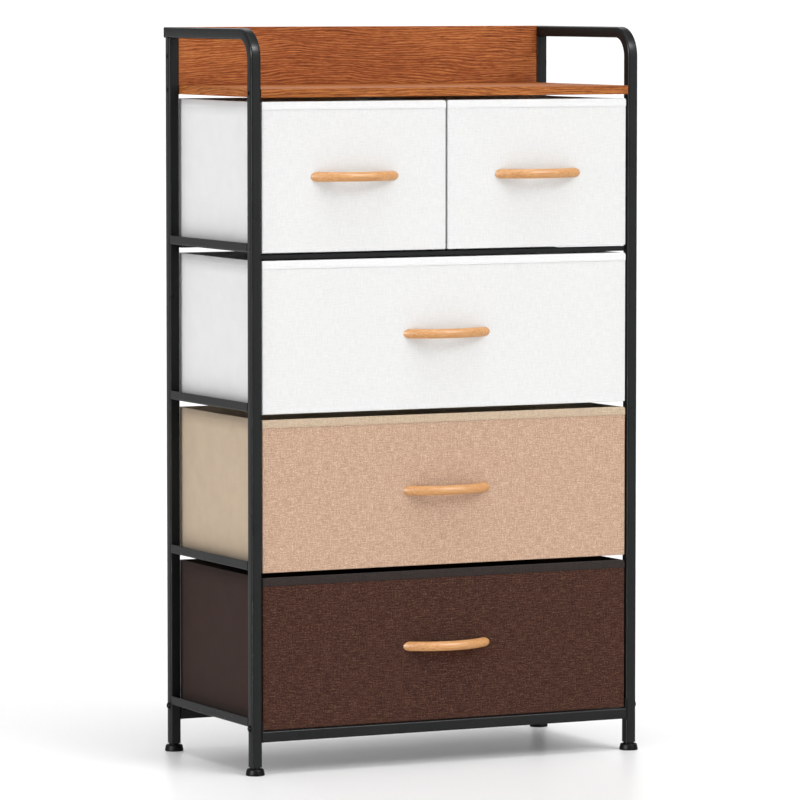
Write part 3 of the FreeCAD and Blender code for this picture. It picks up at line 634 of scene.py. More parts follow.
WHITE_LINEN = Linen(
    "white_linen_cloth",
    srgb(212, 212, 212),
    srgb(218, 218, 217),
    srgb(224, 224, 224),
    warp_share=0.42,
    weft_share=0.42,
    speckle_share=0.16,
)
TAN_LINEN = Linen("tan_linen_cloth", srgb(156, 125, 102), srgb(184, 152, 129), srgb(211, 182, 159), contrast=0.95)
BROWN_LINEN = Linen(
    "brown_linen_cloth",
    srgb(35, 14, 7),
    srgb(61, 34, 24),
    srgb(98, 68, 53),
    warp_share=0.2,
    weft_share=0.4,
    contrast=0.85,
    sheen=0.0,
)
WHITE = fabrics(
    "white",
    WHITE_LINEN,
    hem=(srgb(221, 221, 221), srgb(225, 225, 225), srgb(230, 230, 230)),
    sides=(srgb(214, 214, 214), srgb(219, 219, 219)),
)
TAN = fabrics(
    "tan",
    TAN_LINEN,
    hem=(srgb(171, 150, 126), srgb(187, 166, 142), srgb(204, 184, 160)),
    sides=(srgb(178, 159, 137), srgb(186, 167, 145)),
)
BROWN = fabrics(
    "brown",
    BROWN_LINEN,
    hem=(srgb(36, 28, 25), srgb(42, 34, 31), srgb(52, 43, 39)),
    sides=(srgb(41, 21, 15), srgb(47, 27, 20)),
)


# ----- mesh work -----


def new_box(box: Box) -> BMesh:
    """Makes a closed box mesh.

    Args:
        box: The box.

    Returns:
        The mesh.
    """
    bm = bmesh.new()
    matrix = Matrix.Translation(box.center) @ Matrix.Diagonal((*box.size, 1))
    bmesh.ops.create_cube(bm, size=1, matrix=matrix)
    return bm


def aimed(origin: Vector, axis: Vector) -> Matrix:
    """The placing of a thing whose own origin and Z axis go to a point and along a direction."""
    return Matrix.Translation(origin) @ axis.to_track_quat("Z", "Y").to_matrix().to_4x4()


def of_kind(items: Iterable[object], kind: type) -> list:
    """The items of one kind."""
    return [item for item in items if isinstance(item, kind)]


def edges_at(verts: Iterable[BMVert]) -> list[BMEdge]:
    """The edges that end at any of the vertices, each once and in order."""
    return list(dict.fromkeys(edge for vert in verts for edge in vert.link_edges))


def is_corner(edge: BMEdge, angle: float) -> bool:
    """Whether two faces meet at an edge with more than the angle between them."""
    return len(edge.link_faces) == 2 and edge.calc_face_angle(0.0) > angle


def corner_edges(bm: BMesh, angle: float = CORNER) -> list[BMEdge]:
    """The edges at which two faces meet with more than the angle between them."""
    return [edge for edge in bm.edges if is_corner(edge, angle)]


def edges_along(bm: BMesh, axis: Axis) -> list[BMEdge]:
    """The edges that are parallel to an axis."""
    spans = [(edge, edge.verts[1].co - edge.verts[0].co) for edge in bm.edges]
    return [edge for edge, span in spans if abs(span[axis.value]) > 0.999 * span.length]


def subdivide(bm: BMesh, box: Box, axis: Axis, step: float) -> None:
    """Cuts a box's edges along an axis into equal lengths of about a step."""
    cuts = round(box.size[axis.value] / step)
    bmesh.ops.subdivide_edges(bm, edges=edges_along(bm, axis), cuts=cuts, use_grid_fill=True)


def open_side(bm: BMesh, outward: Triple) -> None:
    """Takes away the faces that look in one direction."""
    faces = [face for face in bm.faces if face.normal.dot(Vector(outward)) > 0.9]
    bmesh.ops.delete(bm, geom=faces, context="FACES_ONLY")


def bevel_edges(bm: BMesh, edges: list[BMEdge], offset: float, segments: int) -> None:
    """Rounds edges, with segments faces that reach as far as the offset."""
    shape = {"affect": "EDGES", "profile": 0.5, "material": -1, "clamp_overlap": True}
    bmesh.ops.bevel(bm, geom=edges, offset=offset, segments=segments, **shape)


def lay_surface_uv(bm: BMesh) -> None:
    """Gives each face its flat place in metres, by the axis that it faces, lengthwise first.

    Args:
        bm: The mesh.
    """
    layer = bm.loops.layers.uv.new(SURFACE_UV)
    for face in bm.faces:
        faced = max(range(3), key=lambda axis: abs(face.normal[axis]))
        across, up = (axis for axis in range(3) if axis != faced)
        for loop in face.loops:
            loop[layer].uv = (loop.vert.co[across], loop.vert.co[up])


def crease_sharp_edges(bm: BMesh) -> None:
    """Shades the mesh smooth, apart from its sharp edges.

    Args:
        bm: The mesh.
    """
    for face in bm.faces:
        face.smooth = True
    for edge in bm.edges:
        edge.smooth = not is_corner(edge, SHARP_EDGE)


@dataclass
class Piece:
    """A finished piece: its mesh, its name, its finish and the body on which it rides."""

    name: str
    mesh: BMesh
    finish: Finish
    body: str
    stands_for: tuple[str, ...] = ()
    slot: str = ""
    thickness: float = 0.0
    keep_normals: bool = False
    flat_faces: bool = False

    def place(self) -> Object:
        """Makes the object, dresses it and lets it ride on its body.

        Returns:
            The object.
        """
        bm = self.mesh
        bmesh.ops.remove_doubles(bm, verts=bm.verts, dist=MERGE_DISTANCE)
        if not self.keep_normals:
            bmesh.ops.recalc_face_normals(bm, faces=bm.faces)
        bm.normal_update()
        lay_surface_uv(bm)
        crease_sharp_edges(bm)
        data = bpy.data.meshes.new(self.name)
        bm.to_mesh(data)
        bm.free()
        item = bpy.data.objects.new(self.name, data)
        bpy.context.scene.collection.objects.link(item)
        data.materials.append(material_of(self.finish))
        if self.thickness:
            solid = item.modifiers.new("cloth_thickness", "SOLIDIFY")
            solid.thickness = self.thickness
            solid.offset = -1
        if self.flat_faces:
            item.modifiers.new("even_shading", "WEIGHTED_NORMAL").keep_sharp = True
        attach(item, self.body)
        if self.stands_for:
            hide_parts(*self.stands_for)
        log.info("%s rides on %s, %d faces", self.name, self.body, len(data.polygons))
        return item


def dress_node(node: str, finish: Finish) -> None:
    """Gives a node of the frame its finish.

    Args:
        node: The node.
        finish: The finish.
    """
    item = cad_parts[node]
    item.data.materials.clear()
    item.data.materials.append(material_of(finish))
    log.info("%s keeps its shape, in %s", node, finish.name)


def merged_copy(node: str, edge_radius: float) -> BMesh:
    """A clean copy of a node's shape with lightly rounded edges.

    Args:
        node: The node of the frame.
        edge_radius: How far the rounding reaches from each sharp edge.

    Returns:
        The copy.
    """
    bm = bmesh.new()
    bm.from_mesh(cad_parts[node].data)
    bmesh.ops.remove_doubles(bm, verts=bm.verts, dist=MERGE_DISTANCE)
    bmesh.ops.dissolve_limit(bm, angle_limit=math.radians(0.5), verts=bm.verts, edges=bm.edges)
    bevel_edges(bm, corner_edges(bm), edge_radius, 2)
    return bm


def extend(bm: BMesh, edges: list[BMEdge], step: Vector) -> list[BMEdge]:
    """Draws rings out in a straight line.

    Args:
        bm: The mesh.
        edges: The rings' edges.
        step: The line.

    Returns:
        The edges of the rings at the far end.
    """
    drawn = bmesh.ops.extrude_edge_only(bm, edges=edges)["geom"]
    verts = of_kind(drawn, BMVert)
    bmesh.ops.translate(bm, verts=verts, vec=step)
    return [edge for edge in of_kind(drawn, BMEdge) if set(edge.verts) <= set(verts)]


# ----- steel frame -----


@dataclass(frozen=True)
class SquareTube:
    """Square steel tube."""

    side: float = 15 * MM
    wall: float = 1.2 * MM
    corner: float = 2.9 * MM
    corner_steps: int = 6

    def ring(self, bm: BMesh, center: Vector, inset: float) -> list[BMEdge]:
        """A rounded square lying flat, as edges only.

        Args:
            bm: The mesh to which it is added.
            center: The middle of the square.
            inset: How far it lies inside the tube's outer face.

        Returns:
            The ring's edges.
        """
        others = set(bm.edges)
        size = self.side / 2 - inset
        made = bmesh.ops.create_grid(bm, x_segments=1, y_segments=1, size=size, matrix=Matrix.Translation(center))
        shape = {"affect": "VERTICES", "profile": 0.5, "material": -1}
        bmesh.ops.bevel(bm, geom=made["verts"], offset=self.corner - inset, segments=self.corner_steps, **shape)
        bmesh.ops.delete(bm, geom=bm.faces[:], context="FACES_ONLY")
        return [edge for edge in bm.edges if edge not in others]

    def start(self, bm: BMesh, center: Vector) -> list[BMEdge]:
        """The outer and inner ring at the lower end of a tube."""
        return self.ring(bm, center, 0) + self.ring(bm, center, self.wall)


@dataclass
class WeldBead:
    """A rippled fillet weld between two points, thinner at its ends and between its ripples."""

    start: Vector
    end: Vector
    radius: float = 0.9 * MM
    ripple: float = 1.3 * MM
    sides: int = 8
    start_share: float = 0.6
    end_share: float = 0.5
    trough_share: float = 0.8

    def build(self, bm: BMesh) -> None:
        """Adds the bead to a mesh.

        Args:
            bm: The mesh.
        """
        line = self.end - self.start
        steps = max(3, round(line.length / self.ripple) * 2)
        radius, matrix = self.radius * self.start_share, aimed(self.start, line)
        made = bmesh.ops.create_circle(bm, cap_ends=False, segments=self.sides, radius=radius, matrix=matrix)
        first = ring = edges_at(made["verts"])
        for number in range(1, steps + 1):
            ring = extend(bm, ring, line / steps)
            verts = list(dict.fromkeys(vert for edge in ring for vert in edge.verts))
            middle = sum((vert.co for vert in verts), Vector()) / len(verts)
            share = self.end_share if number == steps else 1.0 if number % 2 else self.trough_share
            shrink = self.radius * share / (verts[0].co - middle).length
            bmesh.ops.scale(bm, vec=(shrink,) * 3, verts=verts, space=Matrix.Translation(-middle))
        for ends in (first, ring):
            bmesh.ops.contextual_create(bm, geom=ends)


@dataclass
class SteelFrame:
    """The two side frames, the cross rails and the runners."""

    tube: SquareTube = field(default_factory=SquareTube)
    bend: float = 33.5 * MM
    bend_steps: int = 20
    sheet_edge: float = 0.25 * MM
    weld_from_side: float = 1.9 * MM
    weld_from_post: float = 0.3 * MM
    weld_from_below: float = 3.5 * MM
    weld_from_above: float = 1 * MM
    rails: tuple[str, ...] = ("front_bottom_rail", "rear_bottom_rail", "front_mid_rail", "rear_mid_rail")

    def piece(self, name: str, bm: BMesh, *nodes: str, **more: object) -> Piece:
        """A coated piece of the frame, in place of the nodes."""
        return Piece(name, bm, STEEL, "frame", nodes, "charcoal_steel", **more)

    def post(self, node: str, name: str, bent: bool) -> Piece:
        """A post of square tube, which may be bent at its top into a rail that runs to the back.

        Args:
            node: The post's node.
            name: The piece's name.
            bent: Whether it is bent.

        Returns:
            The piece.
        """
        box = Box.of_node(node)
        half = self.tube.side / 2
        x, y = box.center.x, box.low.y + half
        rise = box.size.z - half - self.bend if bent else box.size.z
        bm = bmesh.new()
        start = self.tube.start(bm, Vector((x, y, box.low.z)))
        end = extend(bm, start, Vector((0, 0, rise)))
        if bent:
            pivot = Vector((x, y + self.bend, box.low.z + rise))
            turn = {"axis": (1, 0, 0), "angle": -math.pi / 2, "steps": self.bend_steps}
            bend = bmesh.ops.spin(bm, geom=end, cent=pivot, **turn)
            end = extend(bm, of_kind(bend["geom_last"], BMEdge), Vector((0, box.high.y - pivot.y, 0)))
        for rings in (start, end):
            bmesh.ops.bridge_loops(bm, edges=rings)
        return self.piece(name, bm, node)

    def post_welds(self, side: str) -> Piece:
        """Beads round the top of a rear post, under the gallery rail.

        Args:
            side: left or right.

        Returns:
            The piece.
        """
        box = Box.of_node(f"{side}_rear_post")
        ends = (box.low.x + self.tube.corner, box.high.x - self.tube.corner)
        bm = bmesh.new()
        for y in (box.low.y, box.high.y):
            WeldBead(*(Vector((x, y, box.high.z)) for x in ends)).build(bm)
        return self.piece(f"{side}_post_welds", bm)

    def runner_welds(self, side: str, number: int) -> Piece:
        """Beads at the inner face of a runner's leg, against both posts.

        Args:
            side: left or right.
            number: The runner's number, from the top.

        Returns:
            The piece.
        """
        box = Box.of_node(f"{side}_runner_{number}")
        x = box.low.x + self.weld_from_side if side == "left" else box.high.x - self.weld_from_side
        ends = (box.low.z + self.weld_from_below, box.high.z - self.weld_from_above)
        bm = bmesh.new()
        for y in (box.low.y + self.weld_from_post, box.high.y - self.weld_from_post):
            WeldBead(*(Vector((x, y, z)) for z in ends)).build(bm)
        return self.piece(f"{side}_runner_{number}_welds", bm)

    def folded_part(self, node: str) -> Piece:
        """A rail or runner folded from sheet, with its cut edges eased."""
        bm = merged_copy(node, self.sheet_edge)
        return self.piece(f"{node}_coated", bm, node, keep_normals=True, flat_faces=True)

    def build(self) -> None:
        """Places every steel piece of the frame."""
        for side in ("left", "right"):
            self.post(f"{side}_hoop", f"{side}_bent_hoop", bent=True).place()
            self.post(f"{side}_rear_post", f"{side}_straight_post", bent=False).place()
            self.post_welds(side).place()
            for number in range(1, 5):
                self.folded_part(f"{side}_runner_{number}").place()
                self.runner_welds(side, number).place()
        for node in (*self.rails, "center_runner"):
            self.folded_part(node).place()


# ----- wooden top -----


@dataclass
class WoodenTop:
    """The top board and the back panel."""

    edge: float = 0.9 * MM
    edge_steps: int = 3

    def board(self, node: str, finish: BoardWood) -> Piece:
        """A wooden board with softly rounded edges.

        Args:
            node: The board's node.
            finish: The board's wood.

        Returns:
            The piece.
        """
        bm = new_box(Box.of_node(node))
        bevel_edges(bm, corner_edges(bm), self.edge, self.edge_steps)
        return Piece(f"{node}_wood", bm, finish, "frame", (node,), "wood_board", flat_faces=True)

    def build(self) -> None:
        """Places both boards."""
        self.board("top_board", TOP_WOOD).place()
        # The back panel's wood holds painted light: a lighter copy of the top's wood, against the shade under the top
        # board.
        self.board("back_panel", PANEL_WOOD_WITH_PAINTED_LIGHT).place()


# ----- screws, caps and feet -----


@dataclass(frozen=True)
class DomedScrew:
    """A screw with a low domed head. Its own Z axis points out of the head, from the seat at 0.

    The dome is a list of rings, each with its share of the head's radius and of its height.
    """

    head_radius: float
    head_height: float
    shank_radius: float
    shank_length: float
    recess: Recess
    recess_share: float
    arm_share: float = 0.34
    dome: tuple[tuple[float, float], ...] = ((0.97, 0), (1, 0.12), (0.94, 0.45), (0.8, 0.78), (0.66, 0.93))
    mouth_level: float = 0.97
    mouth_depth: float = 0.62

    def mouth(self, angle: float) -> float:
        """How far the recess reaches from the axis in one direction.

        Args:
            angle: The direction round the axis, in radians.

        Returns:
            The reach in metres.
        """
        reach = self.head_radius * self.recess_share
        if self.recess is Recess.HEX:
            corner = math.radians(60)
            return reach * math.cos(corner / 2) / math.cos((angle % corner) - corner / 2)
        quarter = math.radians(90)
        from_arm = abs((angle + quarter / 2) % quarter - quarter / 2)
        if math.tan(from_arm) <= self.arm_share:
            return reach / math.cos(from_arm)
        return reach * self.arm_share / math.sin(from_arm)

    def build(self, bm: BMesh, seat: Vector, axis: Vector, turn: float) -> None:
        """Adds the screw to a mesh.

        Args:
            bm: The mesh.
            seat: The middle of the face on which the head sits.
            axis: The direction out of the head.
            turn: How far the screw is turned about its axis, in radians.
        """
        tip = -self.shank_length
        rings = [(self.shank_radius * 0.6, tip), (self.shank_radius, tip + 1 * MM), (self.shank_radius, 0)]
        rings += [(self.head_radius * width, self.head_height * level) for width, level in self.dome]
        rings += [(None, self.head_height * level) for level in (self.mouth_level, self.mouth_level - self.mouth_depth)]
        segments = 32 if self.recess is Recess.CROSS else 24
        loops = []
        for radius, height in rings:
            made = bmesh.ops.create_circle(bm, cap_ends=False, segments=segments, radius=1)
            for vert in made["verts"]:
                reach = radius or self.mouth(math.atan2(vert.co.y, vert.co.x))
                vert.co = Vector((vert.co.x * reach, vert.co.y * reach, height))
            loops.append(made["verts"])
        ring_edges = [edges_at(loop) for loop in loops]
        for lower, upper in zip(ring_edges, ring_edges[1:]):
            bmesh.ops.bridge_loops(bm, edges=lower + upper)
        for end in (ring_edges[0], ring_edges[-1]):
            bmesh.ops.contextual_create(bm, geom=end)
        placing = aimed(seat, axis) @ Matrix.Rotation(turn, 4, "Z")
        bmesh.ops.transform(bm, matrix=placing, verts=sum(loops, []))


@dataclass
class FrameFasteners:
    """Screws and bolts through the posts, the plastic caps and the thread inserts."""

    wood_screw: DomedScrew = DomedScrew(3.2 * MM, 0.9 * MM, 2.0 * MM, 34 * MM, Recess.CROSS, 0.62)
    bolt: DomedScrew = DomedScrew(4.8 * MM, 2.6 * MM, 3.0 * MM, 16.4 * MM, Recess.HEX, 0.42)
    first_turn: float = 0.35
    turn_step: float = 0.9
    cap_edge: float = 0.4 * MM

    def fastener_set(self, node: str, screw: DomedScrew, finish: PlainMetal, rows: tuple[float, ...]) -> Piece:
        """The same screw in both side frames.

        Args:
            node: The node of the set.
            screw: The screw.
            finish: The screw's finish.
            rows: Y of each screw's axis.

        Returns:
            The piece.
        """
        side_x = Box.of_node("right_hoop").high.x
        z = Box.of_node(node).center.z
        bm = bmesh.new()
        turn = self.first_turn
        for y in rows:
            for side in (-1, 1):
                screw.build(bm, Vector((side * side_x, y, z)), Vector((side, 0, 0)), turn)
                turn += self.turn_step
        return Piece(f"{node.removesuffix('s')}_set", bm, finish, "frame", (node,), "dark_fasteners")

    def build(self) -> None:
        """Places the fasteners, caps and inserts."""
        front = Box.of_node("right_hoop").low.y + SquareTube.side / 2
        rear = Box.of_node("right_rear_post").center.y
        self.fastener_set("board_screws", self.wood_screw, BLACK_SCREW, (front, rear)).place()
        self.fastener_set("panel_screws", self.wood_screw, BLACK_SCREW, (rear,)).place()
        self.fastener_set("frame_bolts", self.bolt, BLACK_BOLT, (front, rear)).place()
        caps = merged_copy("hoop_end_caps", self.cap_edge)
        Piece("rail_end_caps", caps, PLASTIC, "frame", ("hoop_end_caps",), "black_plastic", keep_normals=True).place()
        dress_node("foot_inserts", PLASTIC)


@dataclass
class LevellingFoot:
    """A turned foot with a threaded stem. Its profile is in millimetres: each radius with its height."""

    name: str
    profile: tuple[tuple[float, float], ...] = (
        (0, 0.25), (10.9, 0.25), (11.2, 0), (12.2, 0), (12.7, 0.5), (12.8, 1.4), (12.2, 4.6), (11.7, 7.0),
        (11.2, 8.2), (10.2, 8.9), (8.6, 9.1), (7.5, 9.4), (7.1, 10.0), (7.0, 10.98), (3.0, 10.98),
    )
    stem_radius: float = 3.0
    steps: int = 56

    def build(self) -> None:
        """Places the foot."""
        box = Box.of_node(self.name)
        center, height = box.center, box.size.z / MM
        profile = [*self.profile, (self.stem_radius, height), (0, height)]
        bm = bmesh.new()
        verts = [bm.verts.new((center.x + r * MM, center.y, box.low.z + z * MM)) for r, z in profile]
        edges = [bm.edges.new(pair) for pair in zip(verts, verts[1:])]
        turn = {"axis": (0, 0, 1), "angle": 2 * math.pi, "steps": self.steps, "use_merge": True}
        bmesh.ops.spin(bm, geom=verts + edges, cent=(center.x, center.y, 0), **turn)
        Piece(f"{self.name}_turned", bm, PLASTIC, self.name, (self.name,), "black_plastic").place()


# ----- drawers -----


@dataclass(frozen=True)
class Stitching:
    """Rows of thread stitches."""

    length: float = 2.4 * MM
    gap: float = 0.9 * MM
    radius: float = 0.2 * MM
    sides: int = 5

    def row(self, bm: BMesh, start: Triple, end: Triple) -> None:
        """Adds stitches along a straight line.

        Args:
            bm: The mesh.
            start: Where the row starts.
            end: Where it ends.
        """
        line = Vector(end) - Vector(start)
        count = max(1, int(line.length // (self.length + self.gap)))
        thread = {"segments": self.sides, "radius1": self.radius, "radius2": self.radius, "depth": self.length}
        for number in range(count):
            middle = Vector(start) + line * ((number + 0.5) / count)
            bmesh.ops.create_cone(bm, cap_ends=True, matrix=aimed(middle, line), **thread)


@dataclass
class FabricDrawer:
    """A soft drawer: linen front with a taped hem, felted box, bow handle.

    Each sag is the least amount by which the cloth gives way and how much its wander adds.
    """

    name: str
    cloths: DrawerFabrics
    cloth: float = 0.6 * MM
    front_step: float = 20 * MM
    front_round: float = 1.4 * MM
    left_corner: float = 1.4 * MM
    right_corner: float = 3.6 * MM
    relief: float = 0.25 * MM
    relief_fade: float = 30 * MM
    hem_cloth: float = 0.45 * MM
    hem_step: float = 12 * MM
    hem_round: float = 0.9 * MM
    hem_height: float = 10.5 * MM
    hem_proud: float = 0.5 * MM
    hem_overhang: float = 0.15 * MM
    hem_rise: float = 0.3 * MM
    hem_wave: float = 0.15 * MM
    lining: float = 1.0 * MM
    seam_rise: float = 1.6 * MM
    seam_inset: float = 3 * MM
    bin_wall: float = 2.2 * MM
    bin_step: Triple = (24 * MM, 22 * MM, 24 * MM)
    bin_round: float = 3.2 * MM
    bin_gap: float = 0.05 * MM
    bin_below_base: float = 1.5 * MM
    side_sag: tuple[float, float] = (0.5 * MM, 0.8 * MM)
    rear_sag: tuple[float, float] = (0.6 * MM, 2.0 * MM)
    rim_sag: tuple[float, float] = (0.2 * MM, 0.9 * MM)
    rim_seam_drop: float = 9 * MM
    box_seam_inset: float = 6 * MM
    bow_radius: float = 6.5 * MM
    bow_surplus: float = 0.12
    bow_edge: float = 0.5 * MM
    screw_spacing: float = 100 * MM
    screw_head: tuple[float, float] = (4.25 * MM, 2.2 * MM)
    stitching: Stitching = field(default_factory=Stitching)

    def node(self, part: str) -> Box:
        """The box of one of the drawer's nodes."""
        return Box.of_node(f"{self.name}_{part}")

    def piece(self, suffix: str, bm: BMesh, finish: Finish, slot: str, *parts: str, **more: object) -> Piece:
        """A piece of this drawer, in place of its nodes for the parts."""
        nodes = tuple(f"{self.name}_{part}" for part in parts)
        return Piece(f"{self.name}_{suffix}", bm, finish, f"{self.name}_drawer", nodes, slot, **more)

    def front(self) -> Piece:
        """The linen front, wrapped round the stiff board and open at the back.

        Returns:
            The piece.
        """
        cover = self.node("front_cover")
        box = Box(cover.low + Vector((0, self.hem_proud, 0)), cover.high)
        bm = new_box(box)
        subdivide(bm, box, Axis.X, self.front_step)
        subdivide(bm, box, Axis.Z, self.front_step)
        self.round_top_corners(bm, box)
        open_side(bm, (0, 1, 0))
        bevel_edges(bm, corner_edges(bm, FOLD), self.front_round, 4)
        self.soften(bm, box)
        cloth = {"thickness": self.cloth, "flat_faces": True}
        return self.piece("linen_front", bm, self.cloths.front, self.cloths.front_slot, "front_cover", **cloth)

    def round_top_corners(self, bm: BMesh, box: Box) -> None:
        """Rounds the two upper corners of a front, seen from the front.

        Args:
            bm: The front's mesh.
            box: The front's box.
        """
        for x, radius in ((box.low.x, self.left_corner), (box.high.x, self.right_corner)):
            starts = [(edge, edge.verts[0].co) for edge in edges_along(bm, Axis.Y)]
            corner = [edge for edge, co in starts if abs(co.x - x) < NEAR and abs(co.z - box.high.z) < NEAR]
            bevel_edges(bm, corner, radius, 5)

    def soften(self, bm: BMesh, box: Box) -> None:
        """Lets the cloth on the face stand a little uneven between its edges.

        Args:
            bm: The front's mesh.
            box: The front's box.
        """
        for co in (vert.co for vert in bm.verts if vert.co.y <= box.low.y + NEAR / 2):
            inside = min(co.x - box.low.x, box.high.x - co.x, co.z - box.low.z)
            fade = min(1.0, inside / self.relief_fade)
            seat = Vector((co.x * 9, co.z * 6, 3.0 + 7 * box.center.z))
            co.y += self.relief * fade * (noise.noise(seat) * 0.5 + 0.5)

    def hem(self) -> Piece:
        """The tape folded over the top edge of the front.

        Returns:
            The piece.
        """
        cover, over = self.node("front_cover"), self.hem_overhang
        low = Vector((cover.low.x - over, cover.low.y, cover.high.z - self.hem_height))
        box = Box(low, cover.high + Vector((over, self.lining + self.hem_proud, self.hem_rise)))
        bm = new_box(box)
        subdivide(bm, box, Axis.X, self.hem_step)
        open_side(bm, (0, 0, -1))
        self.round_top_corners(bm, box)
        bevel_edges(bm, corner_edges(bm, FOLD), self.hem_round, 3)
        for co in (vert.co for vert in bm.verts if vert.co.z < low.z + NEAR):
            co.z += self.hem_wave * noise.noise(Vector((co.x * 60, 5.0, box.center.z * 9)))
        cloth = {"thickness": self.hem_cloth, "flat_faces": True}
        return self.piece("hem_tape", bm, self.cloths.hem, self.cloths.front_slot, **cloth)

    def hem_seam(self) -> Piece:
        """The stitches that hold the hem tape, front and back.

        Returns:
            The piece.
        """
        cover = self.node("front_cover")
        z = cover.high.z - self.hem_height + self.seam_rise
        bm = bmesh.new()
        for y in (cover.low.y - 0.02 * MM, cover.high.y + self.lining + self.hem_proud + 0.02 * MM):
            self.stitching.row(bm, (cover.low.x + self.seam_inset, y, z), (cover.high.x - self.seam_inset, y, z))
        return self.piece("hem_stitches", bm, self.cloths.thread, self.cloths.front_slot)

    def bin_box(self) -> Box:
        """The felted box's outer size: down to just below its base board.

        Returns:
            The box.
        """
        node = self.node("bin")
        floor = self.node("base_board").low.z - self.bin_below_base
        return Box(Vector((node.low.x, node.low.y + self.bin_gap, floor)), node.high)

    def bin(self) -> Piece:
        """The felted box behind the front.

        Returns:
            The piece.
        """
        box = self.bin_box()
        bm = new_box(box)
        for axis, step in zip(Axis, self.bin_step):
            subdivide(bm, box, axis, step)
        open_side(bm, (0, 0, 1))
        bevel_edges(bm, corner_edges(bm, FOLD), self.bin_round, 4)
        self.sag(bm, box)
        return self.piece("felt_box", bm, self.cloths.sides, self.cloths.side_slot, "bin", thickness=self.bin_wall)

    def sag(self, bm: BMesh, box: Box) -> None:
        """Lets the walls of the box wander a little inward between their corners and sag at the rim.

        Args:
            bm: The box's mesh.
            box: Its outer size.
        """
        center = box.center
        for vert in bm.verts:
            co = vert.co
            rise = (co.z - box.low.z) / box.size.z
            seat = Vector((co.x * 7, co.y * 9, co.z * 8 + 11 * center.z))
            wander = 0.5 + 0.5 * noise.noise(seat)
            side, rear, rim = (least + more * wander for least, more in (self.side_sag, self.rear_sag, self.rim_sag))
            along_x, along_y = (math.sin(math.pi * (co[i] - box.low[i]) / box.size[i]) for i in (0, 1))
            if abs(abs(co.x - center.x) - box.size.x / 2) < 3 * NEAR:
                co.x -= math.copysign(side * along_y * rise, co.x - center.x)
            elif abs(co.y - box.high.y) < 3 * NEAR:
                co.y -= rear * along_x * rise
            if abs(co.z - box.high.z) < NEAR:
                co.z -= rim * max(0.0, along_y)

    def skirt(self) -> Piece:
        """The strip of lining below the box's floor, behind the lower edge of the front.

        Returns:
            The piece.
        """
        node = self.node("bin")
        low = node.low + Vector((0, self.bin_gap, 0))
        high = Vector((node.high.x, node.low.y + self.lining, self.node("base_board").low.z))
        bm = new_box(Box(low, high))
        bevel_edges(bm, corner_edges(bm), 0.3 * MM, 2)
        return self.piece("lining_skirt", bm, self.cloths.sides, self.cloths.side_slot)

    def box_seams(self) -> Piece:
        """The stitches below the rim of the box and down its rear corners.

        Returns:
            The piece.
        """
        box = self.bin_box()
        inset = self.box_seam_inset
        left, right = box.low.x, box.high.x
        front, rear = box.low.y + inset, box.high.y - inset
        rim = box.high.z - self.rim_seam_drop
        bm = bmesh.new()
        for x in (left, right):
            self.stitching.row(bm, (x, front, rim), (x, rear, rim))
            self.stitching.row(bm, (x, rear, box.low.z + inset), (x, rear, rim - inset))
        self.stitching.row(bm, (left + inset, box.high.y, rim), (right - inset, box.high.y, rim))
        self.sag(bm, box)
        return self.piece("box_stitches", bm, self.cloths.thread, self.cloths.side_slot)

    def handle(self) -> Piece:
        """The bow handle: a round bar bent to an arc and cut flat where it meets the front.

        Returns:
            The piece.
        """
        box = self.node("handle")
        reach, half_length = box.size.y, box.size.x / 2
        outer = (half_length**2 + reach**2) / (2 * reach)
        half_angle = math.asin(half_length / outer) + self.bow_surplus
        pivot = Vector((box.center.x, box.low.y + outer, box.center.z))
        middle = Vector((box.center.x, box.low.y + self.bow_radius, box.center.z))
        upright = Matrix.Translation(middle) @ Matrix.Rotation(math.pi / 2, 4, "Y")
        bm = bmesh.new()
        made = bmesh.ops.create_circle(bm, cap_ends=False, segments=28, radius=self.bow_radius, matrix=upright)
        bmesh.ops.rotate(bm, cent=pivot, matrix=Matrix.Rotation(-half_angle, 3, "Z"), verts=bm.verts)
        ring = edges_at(made["verts"])
        bmesh.ops.spin(bm, geom=ring, cent=pivot, axis=(0, 0, 1), angle=2 * half_angle, steps=44)
        everything = bm.verts[:] + bm.edges[:] + bm.faces[:]
        plane = {"plane_co": (0, box.high.y, 0), "plane_no": (0, 1, 0), "clear_outer": True}
        cut = bmesh.ops.bisect_plane(bm, geom=everything, **plane)
        rims = of_kind(cut["geom_cut"], BMEdge)
        bmesh.ops.holes_fill(bm, edges=rims, sides=0)
        bevel_edges(bm, [edge for edge in rims if is_corner(edge, math.radians(20))], self.bow_edge, 2)
        return self.piece("bow_handle", bm, PALE_WOOD, "light_wood", "handle")

    def handle_screws(self) -> Piece:
        """Two screws from inside the drawer into the handle.

        Returns:
            The piece.
        """
        node = self.node("handle_screws")
        head_radius, head_height = self.screw_head
        seat_y = node.high.y - head_height
        screw = DomedScrew(head_radius, head_height, 2.0 * MM, seat_y - node.low.y, Recess.CROSS, 0.6)
        bm = bmesh.new()
        for number, side in enumerate((-1, 1)):
            seat = Vector((node.center.x + side * self.screw_spacing / 2, seat_y, node.center.z))
            screw.build(bm, seat, Vector((0, 1, 0)), 0.4 + number)
        return self.piece("handle_screw_pair", bm, ZINC, "zinc_screws", "handle_screws")

    def build(self) -> None:
        """Places every piece of the drawer and dresses its boards."""
        cover = self.node("front_cover")
        front = self.front().place()
        trimmings = [self.hem().place(), self.hem_seam().place()]
        for make in (self.bin, self.skirt, self.box_seams, self.handle, self.handle_screws):
            make().place()
        dress_node(f"{self.name}_base_board", FIBRE)
        dress_node(f"{self.name}_front_board", FIBRE)


# ----- studio -----


